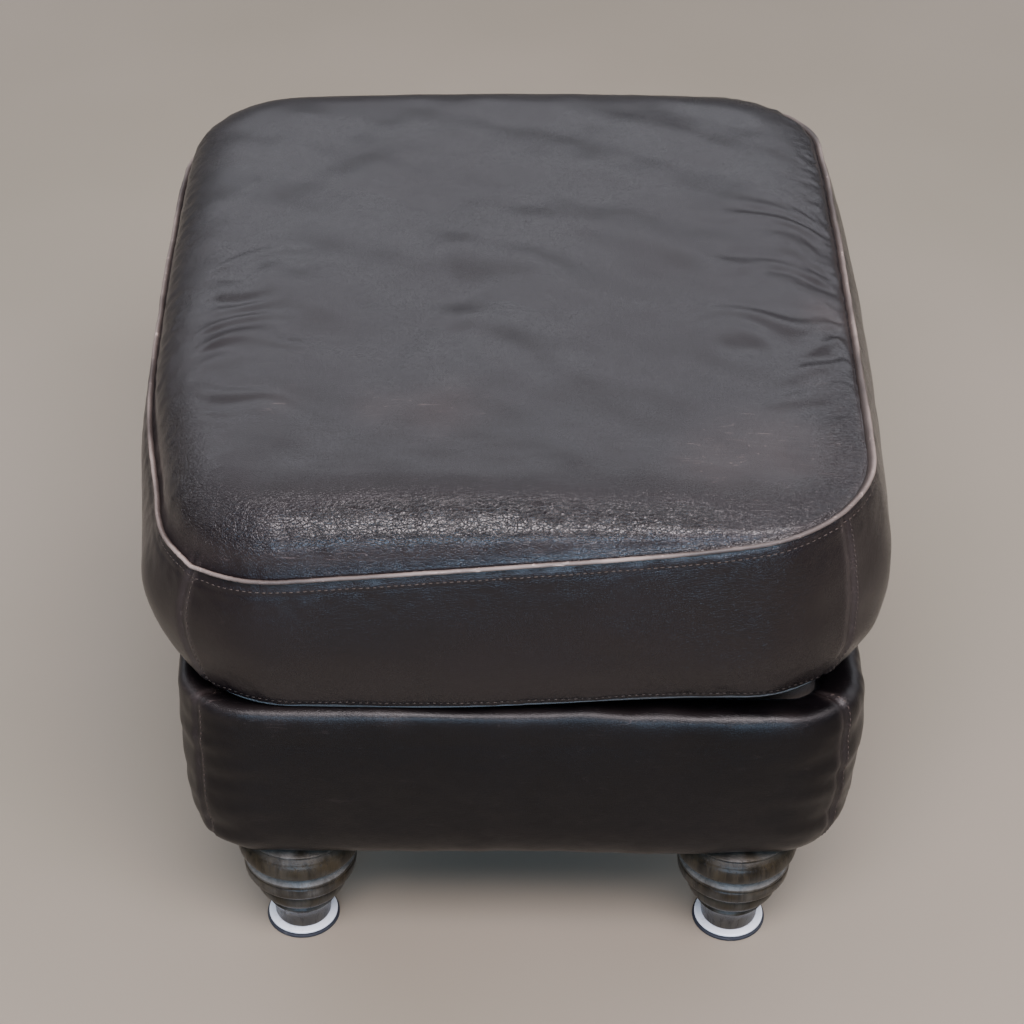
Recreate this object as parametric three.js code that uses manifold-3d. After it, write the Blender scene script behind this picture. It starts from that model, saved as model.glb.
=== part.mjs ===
// A rectangular leather ottoman: a loose box cushion with a zip along its back, on an upholstered
// hardwood frame with elastic webbing, standing on four turned feet with glides.
// Millimetres, +Z up, the origin on the floor under the middle, the front facing -Y.
import * as THREE from "three";
import { mergeVertices } from "three/addons/utils/BufferGeometryUtils.js";
import Module from "manifold-3d";

// ---------- driving dimensions ----------

const GAP = 0.3; // between pieces that touch
const LEATHER = 1.6; // thickness of the hide

// The cushion: a rounded rectangle from above whose long sides bow out, with a bulging band and a
// domed top.
const CUSHION = { halfX: 288, halfY: 364, corner: 110, bow: 14 };
const CUSHION_BOTTOM_Z = 277;
const BOTTOM_SEAM_Z = 285;
const TOP_SEAM_Z = 434;
const CROWN = 46; // rise of the top above its seam
const CROWN_POWER = 6; // a higher power gives a flatter top with a tighter rolled edge
const BOTTOM_TUCK = 26; // how far the band pulls in from its bulge to each seam
const TOP_TUCK = 18;
const UNDERSIDE_TURN = 52; // inset where the underside starts to curl up
const UNDERSIDE_CURL = { width: 9, rise: 2.2 }; // the last part of the curl before the seam
const WELT = 5.4; // height and width of the raised lip along the top seam

// Inside the cushion, a cap of wadding over a foam core.
const WRAP = { clear: 5, thickness: 16, bottomZ: 290, shoulderZ: 424 };
const CORE_CLEAR = 1;

// The base: the upholstered box under the cushion.
const BASE = { halfX: 277, halfY: 350, corner: 66, bow: 0 };
const BASE_UNDERSIDE_Z = 114;
const BASE_RIM_Z = 276;
const DECK_TOP_Z = 270.5;
const DECK_CLOTH = 1.2;
const RAIL = { thickness: 20, inset: 28, chamfer: 38, bottom: BASE_UNDERSIDE_Z + LEATHER + 2.8, top: 249 };
const ROLL_INNER = 39; // inset where the padding over the rails ends
const DECK_INSET = 42;

// The base's hide in section, as [inset, height] from under the rails to the deck. Its first run is
// straight, and the others are curves of a control point and an end.
const HIDE_START = [46, BASE_UNDERSIDE_Z];
const HIDE_HEM = [33, BASE_UNDERSIDE_Z];
const HIDE_CURVES = [
  [[8, BASE_UNDERSIDE_Z + 1], [4, BASE_UNDERSIDE_Z + 44]],
  [[-1, BASE_UNDERSIDE_Z + 106], [2, BASE_RIM_Z - 23]],
  [[3, BASE_RIM_Z], [22, BASE_RIM_Z]],
  [[34, BASE_RIM_Z], [41, DECK_TOP_Z]],
];

// The feet stand on a rectangle, each with a bolt, a tee nut and a two-part glide.
const FOOT_X = 183;
const FOOT_Y = 287;
const GLIDE_PAD = { radius: 31, top: 3 };
const GLIDE_DISC = { radius: 29.4, top: 6 };
const DUST_COVER = { bottom: BASE_UNDERSIDE_Z - 1.1, top: BASE_UNDERSIDE_Z - GAP, inset: 34 };
const FOOT_TOP_Z = DUST_COVER.bottom - GAP;
const BOLT = { radius: 4, bottom: 76, top: 164, tipRadius: 2.5, tipLength: 3 };
const BOLT_HOLE = BOLT.radius + GAP;
const LEG_BLOCK = { leg: 96, cut: 46, top: RAIL.bottom + 38, bore: 6.6 };
const TEE_NUT = { barrel: LEG_BLOCK.bore - GAP, flange: 12, length: 14, plate: 1.8 };

// The turned outline of a foot above its toe, as [radius, height]. A run of one point is straight, and
// one of two is a curve's control point and end.
const FOOT_TOE_RADIUS = 23.5;
const FOOT_RUNS = [
  [[24, 22], [30, 30.8]], // the toe flares upwards
  [[27, 34.2]], // a sloping shoulder into the first groove
  [[37.4, 42], [38.4, 55]], // lowest bead
  [[37.6, 56]],
  [[47.5, 62], [46.9, 79]], // middle bead
  [[43.4, 83.2]], // shoulder and second groove
  [[56.5, 92], [49.2, 105.5]], // highest bead
  [[45.8, 109.6]], // shoulder under the neck
  [[47, FOOT_TOP_Z]],
];

// The webbing: straps 50 wide, woven over and under where they cross.
const STRAP = { width: 50, thickness: 1.2, z: RAIL.top + GAP, lift: 1.6, room: 3.4, endInset: 4, slack: 2 };
const LONG_STRAPS_X = [-125, 0, 125];
const CROSS_STRAPS_Y = [-210, -70, 70, 210];

// The zip in the back of the band.
const ZIP = { z: 302, halfLength: 190, halfOpening: 4, chainHeight: 5, chainDepth: 2.4, chainEnd: 2 };
const TAPE = { thickness: 0.7, depth: LEATHER + 1.7, reach: 15 }; // reach is measured from the zip's middle
const SLIDER = { x: 177, length: 14, height: 7.4, plate: 1.3 };
const BRIDGE = { width: 3.2, wall: 1.4, roof: 1.2, slotLength: 7, slotDepth: 2.2 };
const PULL = { length: 29, width: 8, thickness: 1.5, eyeLength: 7.2, eyeWidth: 4.6, tip: 3 };

// ---------- materials ----------

const material = (color, roughness, metalness = 0) =>
  new THREE.MeshStandardMaterial({ color, roughness, metalness });
const HIDE = material(0x2b2223, 0.42);
const WELT_HIDE = material(0x4a3d3a, 0.5);
const FOAM = material(0xe9dfae, 0.95);
const WADDING = material(0xf2f1ec, 1.0);
const TIMBER = material(0xb08d5b, 0.7);
const STAINED_WOOD = material(0x3a2a1e, 0.45);
const WEBBING = material(0x8f8678, 0.85);
const BLACK_CLOTH = material(0x161616, 0.95);
const BROWN_CLOTH = material(0x2a2320, 0.9);
const STEEL = material(0xb8b8ba, 0.3, 1.0);
const BRASS = material(0x6e5a36, 0.35, 1.0);
const WHITE_NYLON = material(0xdfe4ea, 0.4);
const DARK_RUBBER = material(0x15181d, 0.8);

// ---------- geometry helpers ----------

const ottoman = new THREE.Group();

function add(name, geometry, skin, x = 0, y = 0, z = 0) {
  const mesh = new THREE.Mesh(geometry, skin);
  mesh.name = name;
  mesh.position.set(x, y, z);
  ottoman.add(mesh);
  return mesh;
}

// A geometry from a list of triangles, each three Vector3.
function fromTriangles(triangles) {
  return new THREE.BufferGeometry().setFromPoints(triangles.flat());
}

function quad(a, b, c, d) {
  return [[a, b, c], [a, c, d]];
}

// The numbers from 0 to 1 in a count of equal steps.
function fractions(count) {
  return [...Array(count + 1).keys()].map((i) => i / count);
}

// The stations along one side of a rounded outline, from the middle of one corner to the middle of
// the next, anticlockwise from above. Each has its arc centre's place along the side and its angle.
const CORNER_STEPS = 3; // in half a corner
const BOWED_STEPS = 4; // along the straight part of a side whose outline bows
function stations(outline, side) {
  const half = side % 2 ? outline.halfY : outline.halfX;
  const straight = half - outline.corner;
  const turns = fractions(CORNER_STEPS).slice(0, -1).map((t) => (Math.PI / 4) * (1 - t));
  const middle = fractions(outline.bow ? BOWED_STEPS : 1);
  return [
    ...turns.map((angle) => ({ along: -straight, angle: -angle })),
    ...middle.map((t) => ({ along: (2 * t - 1) * straight, angle: 0 })),
    ...turns.reverse().map((angle) => ({ along: straight, angle })),
  ];
}

// Sides 0 to 3 face -Y, +X, +Y and -X.
const OUTWARD = [[0, -1], [1, 0], [0, 1], [-1, 0]];

// The point of a side at a station, pulled in by inset. scale shrinks it towards the middle, and the
// outline's bow then widens it, most at the middle of the long sides.
function sidePoint(outline, side, station, inset, z, scale = 1) {
  const [ox, oy] = OUTWARD[side];
  const halfOut = side % 2 ? outline.halfX : outline.halfY;
  const radius = outline.corner - inset;
  const along = station.along + radius * Math.sin(station.angle);
  const out = halfOut - outline.corner + radius * Math.cos(station.angle);
  const y = scale * (out * oy + along * ox);
  const widened = 1 + (outline.bow / outline.halfX) * (1 - (y / outline.halfY) ** 2);
  return new THREE.Vector3(widened * scale * (out * ox - along * oy), y, z);
}

// The whole outline as one ring of points, anticlockwise from above.
function ring(outline, inset, z, scale = 1) {
  return OUTWARD.flatMap((_, side) =>
    stations(outline, side)
      .slice(0, -1)
      .map((station) => sidePoint(outline, side, station, inset, z, scale)),
  );
}

// A closed solid through rings. Its first and last rings are filled, unless it loops back to the first.
function loft(rings, loops = false) {
  const count = rings[0].length;
  const triangles = [];
  const bands = loops ? rings.length : rings.length - 1;
  for (let k = 0; k < bands; k++) {
    const [low, high] = [rings[k], rings[(k + 1) % rings.length]];
    for (let i = 0; i < count; i++) {
      const j = (i + 1) % count;
      triangles.push(...quad(low[i], low[j], high[j], high[i]));
    }
  }
  if (!loops) {
    const middle = (points) =>
      points.reduce((sum, p) => sum.add(p), new THREE.Vector3()).divideScalar(count);
    const [first, last] = [rings[0], rings[rings.length - 1]];
    const [firstMiddle, lastMiddle] = [middle(first), middle(last)];
    for (let i = 0; i < count; i++) {
      const j = (i + 1) % count;
      triangles.push([firstMiddle, first[j], first[i]], [lastMiddle, last[i], last[j]]);
    }
  }
  return fromTriangles(triangles);
}

// A thin curved panel between an outer and an inner grid, each a list of columns of points going up.
function panel(outer, inner) {
  const columns = outer.length - 1;
  const rows = outer[0].length - 1;
  const triangles = [];
  for (let c = 0; c < columns; c++) {
    for (let r = 0; r < rows; r++) {
      triangles.push(...quad(outer[c][r], outer[c + 1][r], outer[c + 1][r + 1], outer[c][r + 1]));
      triangles.push(...quad(inner[c][r], inner[c][r + 1], inner[c + 1][r + 1], inner[c + 1][r]));
    }
    triangles.push(...quad(outer[c][0], inner[c][0], inner[c + 1][0], outer[c + 1][0]));
    triangles.push(...quad(outer[c][rows], outer[c + 1][rows], inner[c + 1][rows], inner[c][rows]));
  }
  for (let r = 0; r < rows; r++) {
    const [o, i] = [outer[0], inner[0]];
    triangles.push(...quad(o[r], o[r + 1], i[r + 1], i[r]));
    const [oEnd, iEnd] = [outer[columns], inner[columns]];
    triangles.push(...quad(oEnd[r], iEnd[r], iEnd[r + 1], oEnd[r + 1]));
  }
  return fromTriangles(triangles);
}

// Profiles are lists of Vector2 of inset and height, going up. This moves one inwards by a distance.
function offset(profile, distance) {
  return profile.map((point, i) => {
    const before = profile[Math.max(i - 1, 0)];
    const after = profile[Math.min(i + 1, profile.length - 1)];
    const run = after.clone().sub(before).normalize();
    return new THREE.Vector2(point.x + run.y * distance, point.y - run.x * distance);
  });
}

// A panel of hide over one side of an outline. Its ends are trimmed, so that neighbouring panels keep
// clear of each other at the corner seams.
const SEAM_TRIM = GAP / 2;
function skin(outline, side, profile) {
  const [ox, oy] = OUTWARD[side];
  const alongSide = new THREE.Vector3(-oy, ox, 0);
  const places = stations(outline, side);
  const grid = (depth) =>
    places.map((station, i) => {
      const inward = i === 0 ? SEAM_TRIM : i === places.length - 1 ? -SEAM_TRIM : 0;
      return offset(profile, depth).map((p) =>
        sidePoint(outline, side, station, p.x, p.y).addScaledVector(alongSide, inward),
      );
    });
  return panel(grid(0), grid(LEATHER));
}

function extrude(shape, depth, curveSegments = 8) {
  return new THREE.ExtrudeGeometry(shape, { depth, bevelEnabled: false, curveSegments });
}

// A flat outline, always turned anticlockwise.
function polygon(points) {
  const corners = points.map(([x, y]) => new THREE.Vector2(x, y));
  return new THREE.Shape(THREE.ShapeUtils.isClockWise(corners) ? corners.reverse() : corners);
}

function circleHole(x, y, radius) {
  return new THREE.Path().absarc(x, y, radius, 0, 2 * Math.PI, true);
}

// A solid of revolution about Z from a list of [radius, height].
function turned(profile, segments) {
  const points = profile.map(([radius, height]) => new THREE.Vector2(radius, height));
  return new THREE.LatheGeometry(points, segments).rotateX(Math.PI / 2);
}

// ---------- cushion ----------

const BAND_MIDDLE_Z = (BOTTOM_SEAM_Z + TOP_SEAM_Z) / 2;
const BAND_HALF = (TOP_SEAM_Z - BOTTOM_SEAM_Z) / 2;

// How far the band is pulled in at a height.
function bandInset(z) {
  const s = (z - BAND_MIDDLE_Z) / BAND_HALF;
  return (s < 0 ? BOTTOM_TUCK : TOP_TUCK) * s * s;
}

function bandProfile(low, high, steps) {
  return fractions(steps).map((t) => {
    const z = low + (high - low) * t;
    return new THREE.Vector2(bandInset(z), z);
  });
}

const BAND_TOP_Z = TOP_SEAM_Z - WELT / 2 - GAP;
const SIDE_NAMES = ["front", "right", "back", "left"];
const fullBand = bandProfile(BOTTOM_SEAM_Z, BAND_TOP_Z, 6);
for (const side of [0, 1, 3]) {
  add(`cushion_band_${SIDE_NAMES[side]}`, skin(CUSHION, side, fullBand), HIDE);
}

// The back of the band is two strips with the zip between them.
const BACK = 2;
const backStrips = {
  cushion_band_back_upper: bandProfile(ZIP.z + ZIP.halfOpening, BAND_TOP_Z, 9),
  cushion_band_back_lower: bandProfile(BOTTOM_SEAM_Z, ZIP.z - ZIP.halfOpening, 2),
};
for (const [name, profile] of Object.entries(backStrips)) {
  add(name, skin(CUSHION, BACK, profile), HIDE);
}

// Height of the domed top above its seam at a scale from 0, the middle, to 1, the seam.
function crown(scale) {
  return CROWN * Math.sqrt(1 - scale ** CROWN_POWER);
}

// Rings of the dome from the middle out, lowered and shrunk by a depth below the surface.
const CROWN_SCALES = [0.3, 0.6, 0.78, 0.88, 0.94, 0.98, 1];
const TOP_EDGE_Z = TOP_SEAM_Z + WELT / 2 + GAP;
function dome(depth, scales = CROWN_SCALES) {
  const shrink = 1 - depth / CUSHION.halfX;
  const flatten = 1 - depth / CROWN;
  return scales.map((s) => ring(CUSHION, TOP_TUCK, TOP_EDGE_Z + flatten * crown(s), s * shrink));
}

const outerDome = dome(0);
add("cushion_top_panel", loft([...dome(LEATHER), ...outerDome.reverse()]), HIDE);

// The raised lip along the top seam, with its outer corners rounded off.
const weltHalf = WELT / 2;
const weltCorner = weltHalf * 0.6;
const weltRings = [
  ring(CUSHION, TOP_TUCK + weltHalf, TOP_SEAM_Z - weltHalf),
  ring(CUSHION, TOP_TUCK - weltCorner, TOP_SEAM_Z - weltHalf),
  ring(CUSHION, TOP_TUCK - weltHalf, TOP_SEAM_Z),
  ring(CUSHION, TOP_TUCK - weltCorner, TOP_SEAM_Z + weltHalf),
  ring(CUSHION, TOP_TUCK + weltHalf, TOP_SEAM_Z + weltHalf),
];
add("cushion_top_welt", loft(weltRings, true), WELT_HIDE);

// The underside panel is flat and curls up to the bottom seam.
function underside(depth) {
  const edge = BOTTOM_TUCK + GAP + LEATHER;
  return [
    ring(CUSHION, UNDERSIDE_TURN, CUSHION_BOTTOM_Z + depth, 0.5),
    ring(CUSHION, UNDERSIDE_TURN, CUSHION_BOTTOM_Z + depth),
    ring(CUSHION, edge + UNDERSIDE_CURL.width, CUSHION_BOTTOM_Z + UNDERSIDE_CURL.rise + depth),
    ring(CUSHION, edge, BOTTOM_SEAM_Z - LEATHER - GAP + depth),
  ];
}
add("cushion_bottom_panel", loft([...underside(0), ...underside(LEATHER).reverse()]), BROWN_CLOTH);

// The fibre wrap is a cap over the top and sides of the foam core.
function wrapWall(depth) {
  return bandProfile(WRAP.bottomZ, WRAP.shoulderZ, 3).map((p) =>
    ring(CUSHION, p.x + WRAP.clear + depth, p.y),
  );
}
function wrapRoof(depth) {
  const scales = [0.96, 0.9, 0.78, 0.5];
  return dome(WRAP.clear + depth, scales);
}
add(
  "cushion_fibre_wrap",
  loft([
    ...wrapRoof(WRAP.thickness).reverse(),
    ...wrapWall(WRAP.thickness).reverse(),
    ...wrapWall(0),
    ...wrapRoof(0),
  ]),
  WADDING,
);

// The foam core fills the wrap and reaches down to the underside panel.
const CORE_DEPTH = WRAP.clear + WRAP.thickness + CORE_CLEAR;
const coreWall = bandProfile(WRAP.bottomZ, WRAP.shoulderZ - 2 * CORE_CLEAR, 3);
const coreRoof = dome(CORE_DEPTH, [0.94, 0.88, 0.76, 0.5]);
add(
  "cushion_foam_core",
  loft([
    ring(CUSHION, UNDERSIDE_TURN, CUSHION_BOTTOM_Z + LEATHER + GAP),
    ring(CUSHION, UNDERSIDE_TURN, WRAP.bottomZ - GAP),
    ...coreWall.map((p) => ring(CUSHION, p.x + CORE_DEPTH, p.y)),
    ...coreRoof.map((points) => points.map((p) => p.setZ(p.z - CORE_CLEAR))),
  ]),
  FOAM,
);

// ---------- zip ----------

// A flat strip that follows the band's slope over the zip's length, between two heights.
function tapeStrip(low, high) {
  const ends = [-ZIP.halfLength, ZIP.halfLength];
  const profile = bandProfile(low, high, 2);
  const grid = (depth) =>
    ends.map((x) => offset(profile, depth).map((p) => new THREE.Vector3(-x, CUSHION.halfY - p.x, p.y)));
  return panel(grid(TAPE.depth), grid(TAPE.depth + TAPE.thickness));
}
add("zip_tape_upper", tapeStrip(ZIP.z + GAP / 2, ZIP.z + TAPE.reach), BLACK_CLOTH);
add("zip_tape_lower", tapeStrip(ZIP.z - TAPE.reach, ZIP.z - GAP / 2), BLACK_CLOTH);

// The row of interlocked teeth stands proud of the tapes.
const CHAIN_BACK_Y = CUSHION.halfY - bandInset(ZIP.z) - LEATHER + GAP;
const chain = new THREE.BoxGeometry(2 * (ZIP.halfLength - ZIP.chainEnd), ZIP.chainDepth, ZIP.chainHeight);
add("zip_chain", chain, BRASS, 0, CHAIN_BACK_Y + ZIP.chainDepth / 2, ZIP.z);

// Manifold solids, for the pieces that need a join.
const wasm = await Module();
wasm.setup();

function toSolid(geometry) {
  const bare = geometry.clone();
  bare.deleteAttribute("normal");
  bare.deleteAttribute("uv");
  const merged = mergeVertices(bare, 1e-4);
  return new wasm.Manifold(
    new wasm.Mesh({
      numProp: 3,
      vertProperties: merged.attributes.position.array,
      triVerts: new Uint32Array(merged.index.array),
    }),
  );
}

function toGeometry(solid) {
  const mesh = solid.getMesh();
  return new THREE.BufferGeometry()
    .setAttribute("position", new THREE.BufferAttribute(mesh.vertProperties, 3))
    .setIndex(new THREE.BufferAttribute(mesh.triVerts, 1));
}

// The slider is a plate over the teeth with a bridge that holds the pull. Its own origin is the
// pull's axle, in the middle of the bridge's slot, and Y points away from the cushion.
const plateFaceY = CHAIN_BACK_Y + ZIP.chainDepth + GAP + SLIDER.plate;
const axleY = plateFaceY + BRIDGE.slotDepth / 2;
function sliderGeometry() {
  const slotTop = BRIDGE.slotDepth / 2;
  const plateMiddle = -slotTop - SLIDER.plate / 2;
  const plate = new THREE.BoxGeometry(SLIDER.length, SLIDER.plate, SLIDER.height);
  plate.translate(0, plateMiddle, 0);
  const inX = BRIDGE.slotLength / 2;
  const outX = inX + BRIDGE.wall;
  const [roofX, roofTop] = [outX - BRIDGE.roof, slotTop + BRIDGE.roof];
  const arch = polygon([
    [-outX, plateMiddle], [outX, plateMiddle], [outX, slotTop],
    [roofX, roofTop], [-roofX, roofTop], [-outX, slotTop],
  ]);
  arch.holes.push(polygon([[-inX, -slotTop], [-inX, slotTop], [inX, slotTop], [inX, -slotTop]]));
  const bridge = extrude(arch, BRIDGE.width).translate(0, 0, -BRIDGE.width / 2);
  return toGeometry(toSolid(plate).add(toSolid(bridge)));
}
add("zip_slider", sliderGeometry(), BRASS, SLIDER.x, axleY, ZIP.z);

// The pull is a flat tab with an eye round the bridge. It points towards -X at rest.
function pullGeometry() {
  const half = PULL.width / 2;
  const bar = PULL.thickness / 2;
  const shoulder = PULL.tip - PULL.length;
  const tab = polygon([
    [bar, -half], [bar, half], [shoulder, half],
    [-PULL.length, half - PULL.tip], [-PULL.length, PULL.tip - half], [shoulder, -half],
  ]);
  const eye = PULL.eyeWidth / 2;
  const eyeEnd = -bar - PULL.eyeLength;
  tab.holes.push(polygon([[-bar, -eye], [eyeEnd, -eye], [eyeEnd, eye], [-bar, eye]]));
  return extrude(tab, PULL.thickness).translate(0, 0, -bar).rotateX(Math.PI / 2);
}
add("zip_pull", pullGeometry(), BRASS, SLIDER.x, axleY, ZIP.z);

// ---------- base upholstery ----------

// Points along a path that starts with a straight run and goes on in curves.
const CURVE_STEPS = 4;
function hideSection() {
  const path = new THREE.Path().moveTo(...HIDE_START).lineTo(...HIDE_HEM);
  for (const [control, end] of HIDE_CURVES) path.quadraticCurveTo(...control, ...end);
  return path.getPoints(CURVE_STEPS);
}
const hideProfile = hideSection();
for (const side of [0, 1, 2, 3]) {
  add(`base_panel_${SIDE_NAMES[side]}`, skin(BASE, side, hideProfile), HIDE);
}

// Foam between the hide and the rails, which also rolls over the top of the rails.
const ROLL_UNDERSIDE_Z = STRAP.z + STRAP.room;
const paddingOuter = offset(hideProfile, LEATHER + 1).filter(
  (p) => p.y > RAIL.bottom && p.x < (p.y > RAIL.top ? ROLL_INNER : RAIL.inset - 1),
);
const paddingLoop = [
  new THREE.Vector2(RAIL.inset - GAP, paddingOuter[0].y),
  ...paddingOuter,
  new THREE.Vector2(ROLL_INNER, ROLL_UNDERSIDE_Z),
  new THREE.Vector2(RAIL.inset - GAP, ROLL_UNDERSIDE_Z),
];
add("base_side_padding", loft(paddingLoop.map((p) => ring(BASE, p.x, p.y)), true), FOAM);

// A flat sheet with the rounded outline.
function sheet(inset, low, high) {
  return loft([ring(BASE, inset, low), ring(BASE, inset, high)]);
}
add("deck_cloth", sheet(DECK_INSET, DECK_TOP_Z - DECK_CLOTH, DECK_TOP_Z), BROWN_CLOTH);
add("deck_pad", sheet(DECK_INSET, ROLL_UNDERSIDE_Z, DECK_TOP_Z - DECK_CLOTH - GAP), FOAM);

// The black cover under the frame, with a hole for each bolt.
function dustCover() {
  const outline = ring(BASE, DUST_COVER.inset, 0).map((p) => [p.x, p.y]);
  const shape = polygon(outline);
  for (const x of [-FOOT_X, FOOT_X]) {
    for (const y of [-FOOT_Y, FOOT_Y]) shape.holes.push(circleHole(x, y, BOLT.radius + 1));
  }
  return extrude(shape, DUST_COVER.top - DUST_COVER.bottom, 6);
}
add("dust_cover", dustCover(), BLACK_CLOTH, 0, 0, DUST_COVER.bottom);

// ---------- frame ----------

// The rails meet at the corners under one chamfer, which keeps them within the rounded padding.
const railX = BASE.halfX - RAIL.inset;
const railY = BASE.halfY - RAIL.inset;
const railHeight = RAIL.top - RAIL.bottom;
const endOuter = railX - RAIL.chamfer;
const endInner = endOuter + RAIL.thickness;
const endRail = polygon([
  [-endOuter, -railY], [endOuter, -railY],
  [endInner, RAIL.thickness - railY], [-endInner, RAIL.thickness - railY],
]);
add("front_rail", extrude(endRail, railHeight), TIMBER, 0, 0, RAIL.bottom);
add("back_rail", extrude(endRail, railHeight), TIMBER, 0, 0, RAIL.bottom).rotation.z = Math.PI;

const sideEnd = railY - RAIL.thickness - GAP;
const sideChamferY = railY - RAIL.chamfer;
const sideRail = polygon([
  [railX - RAIL.thickness, -sideEnd], [endInner + GAP, -sideEnd], [railX, -sideChamferY],
  [railX, sideChamferY], [endInner + GAP, sideEnd], [railX - RAIL.thickness, sideEnd],
]);
add("right_rail", extrude(sideRail, railHeight), TIMBER, 0, 0, RAIL.bottom);
add("left_rail", extrude(sideRail, railHeight), TIMBER, 0, 0, RAIL.bottom).rotation.z = Math.PI;

// Each corner has a glued block that carries the foot's bolt, and is numbered from the front left.
const CORNERS = [
  ["front_left", -1, -1], ["front_right", 1, -1], ["back_right", 1, 1], ["back_left", -1, 1],
];
const blockX = railX - RAIL.thickness - GAP;
const blockY = railY - RAIL.thickness - GAP;
function legBlock(sx, sy) {
  const { leg, cut } = LEG_BLOCK;
  const corner = [
    [blockX, blockY], [blockX - leg, blockY], [blockX - leg, blockY - cut],
    [blockX - cut, blockY - leg], [blockX, blockY - leg],
  ];
  const shape = polygon(corner.map(([x, y]) => [sx * x, sy * y]));
  shape.holes.push(circleHole(sx * FOOT_X, sy * FOOT_Y, LEG_BLOCK.bore));
  return extrude(shape, LEG_BLOCK.top - RAIL.bottom);
}

// ---------- feet ----------

const FOOT_SEGMENTS = 28;
const DISC_SEGMENTS = 24;
const BOLT_SEGMENTS = 14;

// The foot is bored from above for its bolt.
function footProfile() {
  const toe = GLIDE_DISC.top + GAP;
  const path = new THREE.Path().moveTo(0, toe).lineTo(FOOT_TOE_RADIUS, toe);
  for (const [first, end] of FOOT_RUNS) {
    if (end) path.quadraticCurveTo(...first, ...end);
    else path.lineTo(...first);
  }
  path.lineTo(BOLT_HOLE, FOOT_TOP_Z);
  path.lineTo(BOLT_HOLE, BOLT.bottom - GAP);
  path.lineTo(0, BOLT.bottom - GAP);
  return path.getPoints(CURVE_STEPS).map((p) => [p.x, p.y]);
}

function disc(radius, low, high) {
  return turned([[0, low], [radius, low], [radius, high], [0, high]], DISC_SEGMENTS);
}

const boltLength = BOLT.top - BOLT.bottom;
const boltProfile = [
  [0, 0], [BOLT.tipRadius, 0], [BOLT.radius, BOLT.tipLength],
  [BOLT.radius, boltLength], [0, boltLength],
];
const bolt = turned(boltProfile, BOLT_SEGMENTS);

// A flanged barrel that sits in the block's bore from above.
const flangeTop = GAP + TEE_NUT.plate;
const teeNutProfile = [
  [BOLT_HOLE, -TEE_NUT.length], [TEE_NUT.barrel, -TEE_NUT.length], [TEE_NUT.barrel, GAP],
  [TEE_NUT.flange, GAP], [TEE_NUT.flange, flangeTop], [BOLT_HOLE, flangeTop],
  [BOLT_HOLE, -TEE_NUT.length],
];
const teeNut = turned(teeNutProfile, BOLT_SEGMENTS);

const foot = turned(footProfile(), FOOT_SEGMENTS);
const nylonDisc = disc(GLIDE_DISC.radius, GLIDE_PAD.top + GAP, GLIDE_DISC.top);
const rubberPad = disc(GLIDE_PAD.radius, 0, GLIDE_PAD.top);
for (const [place, sx, sy] of CORNERS) {
  const [x, y] = [sx * FOOT_X, sy * FOOT_Y];
  add(`leg_block_${place}`, legBlock(sx, sy), TIMBER, 0, 0, RAIL.bottom);
  add(`foot_${place}`, foot, STAINED_WOOD, x, y, 0);
  add(`hanger_bolt_${place}`, bolt, STEEL, x, y, BOLT.bottom);
  add(`tee_nut_${place}`, teeNut, STEEL, x, y, LEG_BLOCK.top);
  add(`glide_disc_${place}`, nylonDisc, WHITE_NYLON, x, y, 0);
  add(`glide_pad_${place}`, rubberPad, DARK_RUBBER, x, y, 0);
}

// ---------- webbing ----------

// A strap along X or Y whose height is a list of [place, height] knots of its underside.
function strap(knots, across, alongY) {
  const half = STRAP.width / 2;
  const point = (place, side, z) =>
    alongY
      ? new THREE.Vector3(across - side * half, place, z)
      : new THREE.Vector3(place, across + side * half, z);
  return loft(
    knots.map(([place, low]) => {
      const high = low + STRAP.thickness;
      return [point(place, -1, low), point(place, 1, low), point(place, 1, high), point(place, -1, high)];
    }),
  );
}

const longReach = railY - STRAP.endInset;
LONG_STRAPS_X.forEach((x, i) => {
  const knots = [[-longReach, STRAP.z], [longReach, STRAP.z]];
  add(`webbing_long_${i + 1}`, strap(knots, x, true), WEBBING);
});

// A cross strap passes over and under the long ones in turn, and starts the other way in the next row.
const crossReach = railX - STRAP.endInset;
const railEdge = railX - RAIL.thickness - STRAP.slack;
const crossing = STRAP.width / 2 + STRAP.slack;
CROSS_STRAPS_Y.forEach((y, row) => {
  const knots = [[-crossReach, STRAP.z], [-railEdge, STRAP.z]];
  LONG_STRAPS_X.forEach((x, i) => {
    const z = STRAP.z + ((i + row) % 2 ? -STRAP.lift : STRAP.lift);
    knots.push([x - crossing, z], [x + crossing, z]);
  });
  knots.push([railEdge, STRAP.z], [crossReach, STRAP.z]);
  add(`webbing_cross_${row + 1}`, strap(knots, y, false), WEBBING);
});

export default ottoman;
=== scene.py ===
import math

import bpy
import numpy as np
from mathutils import Matrix, Vector


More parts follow.
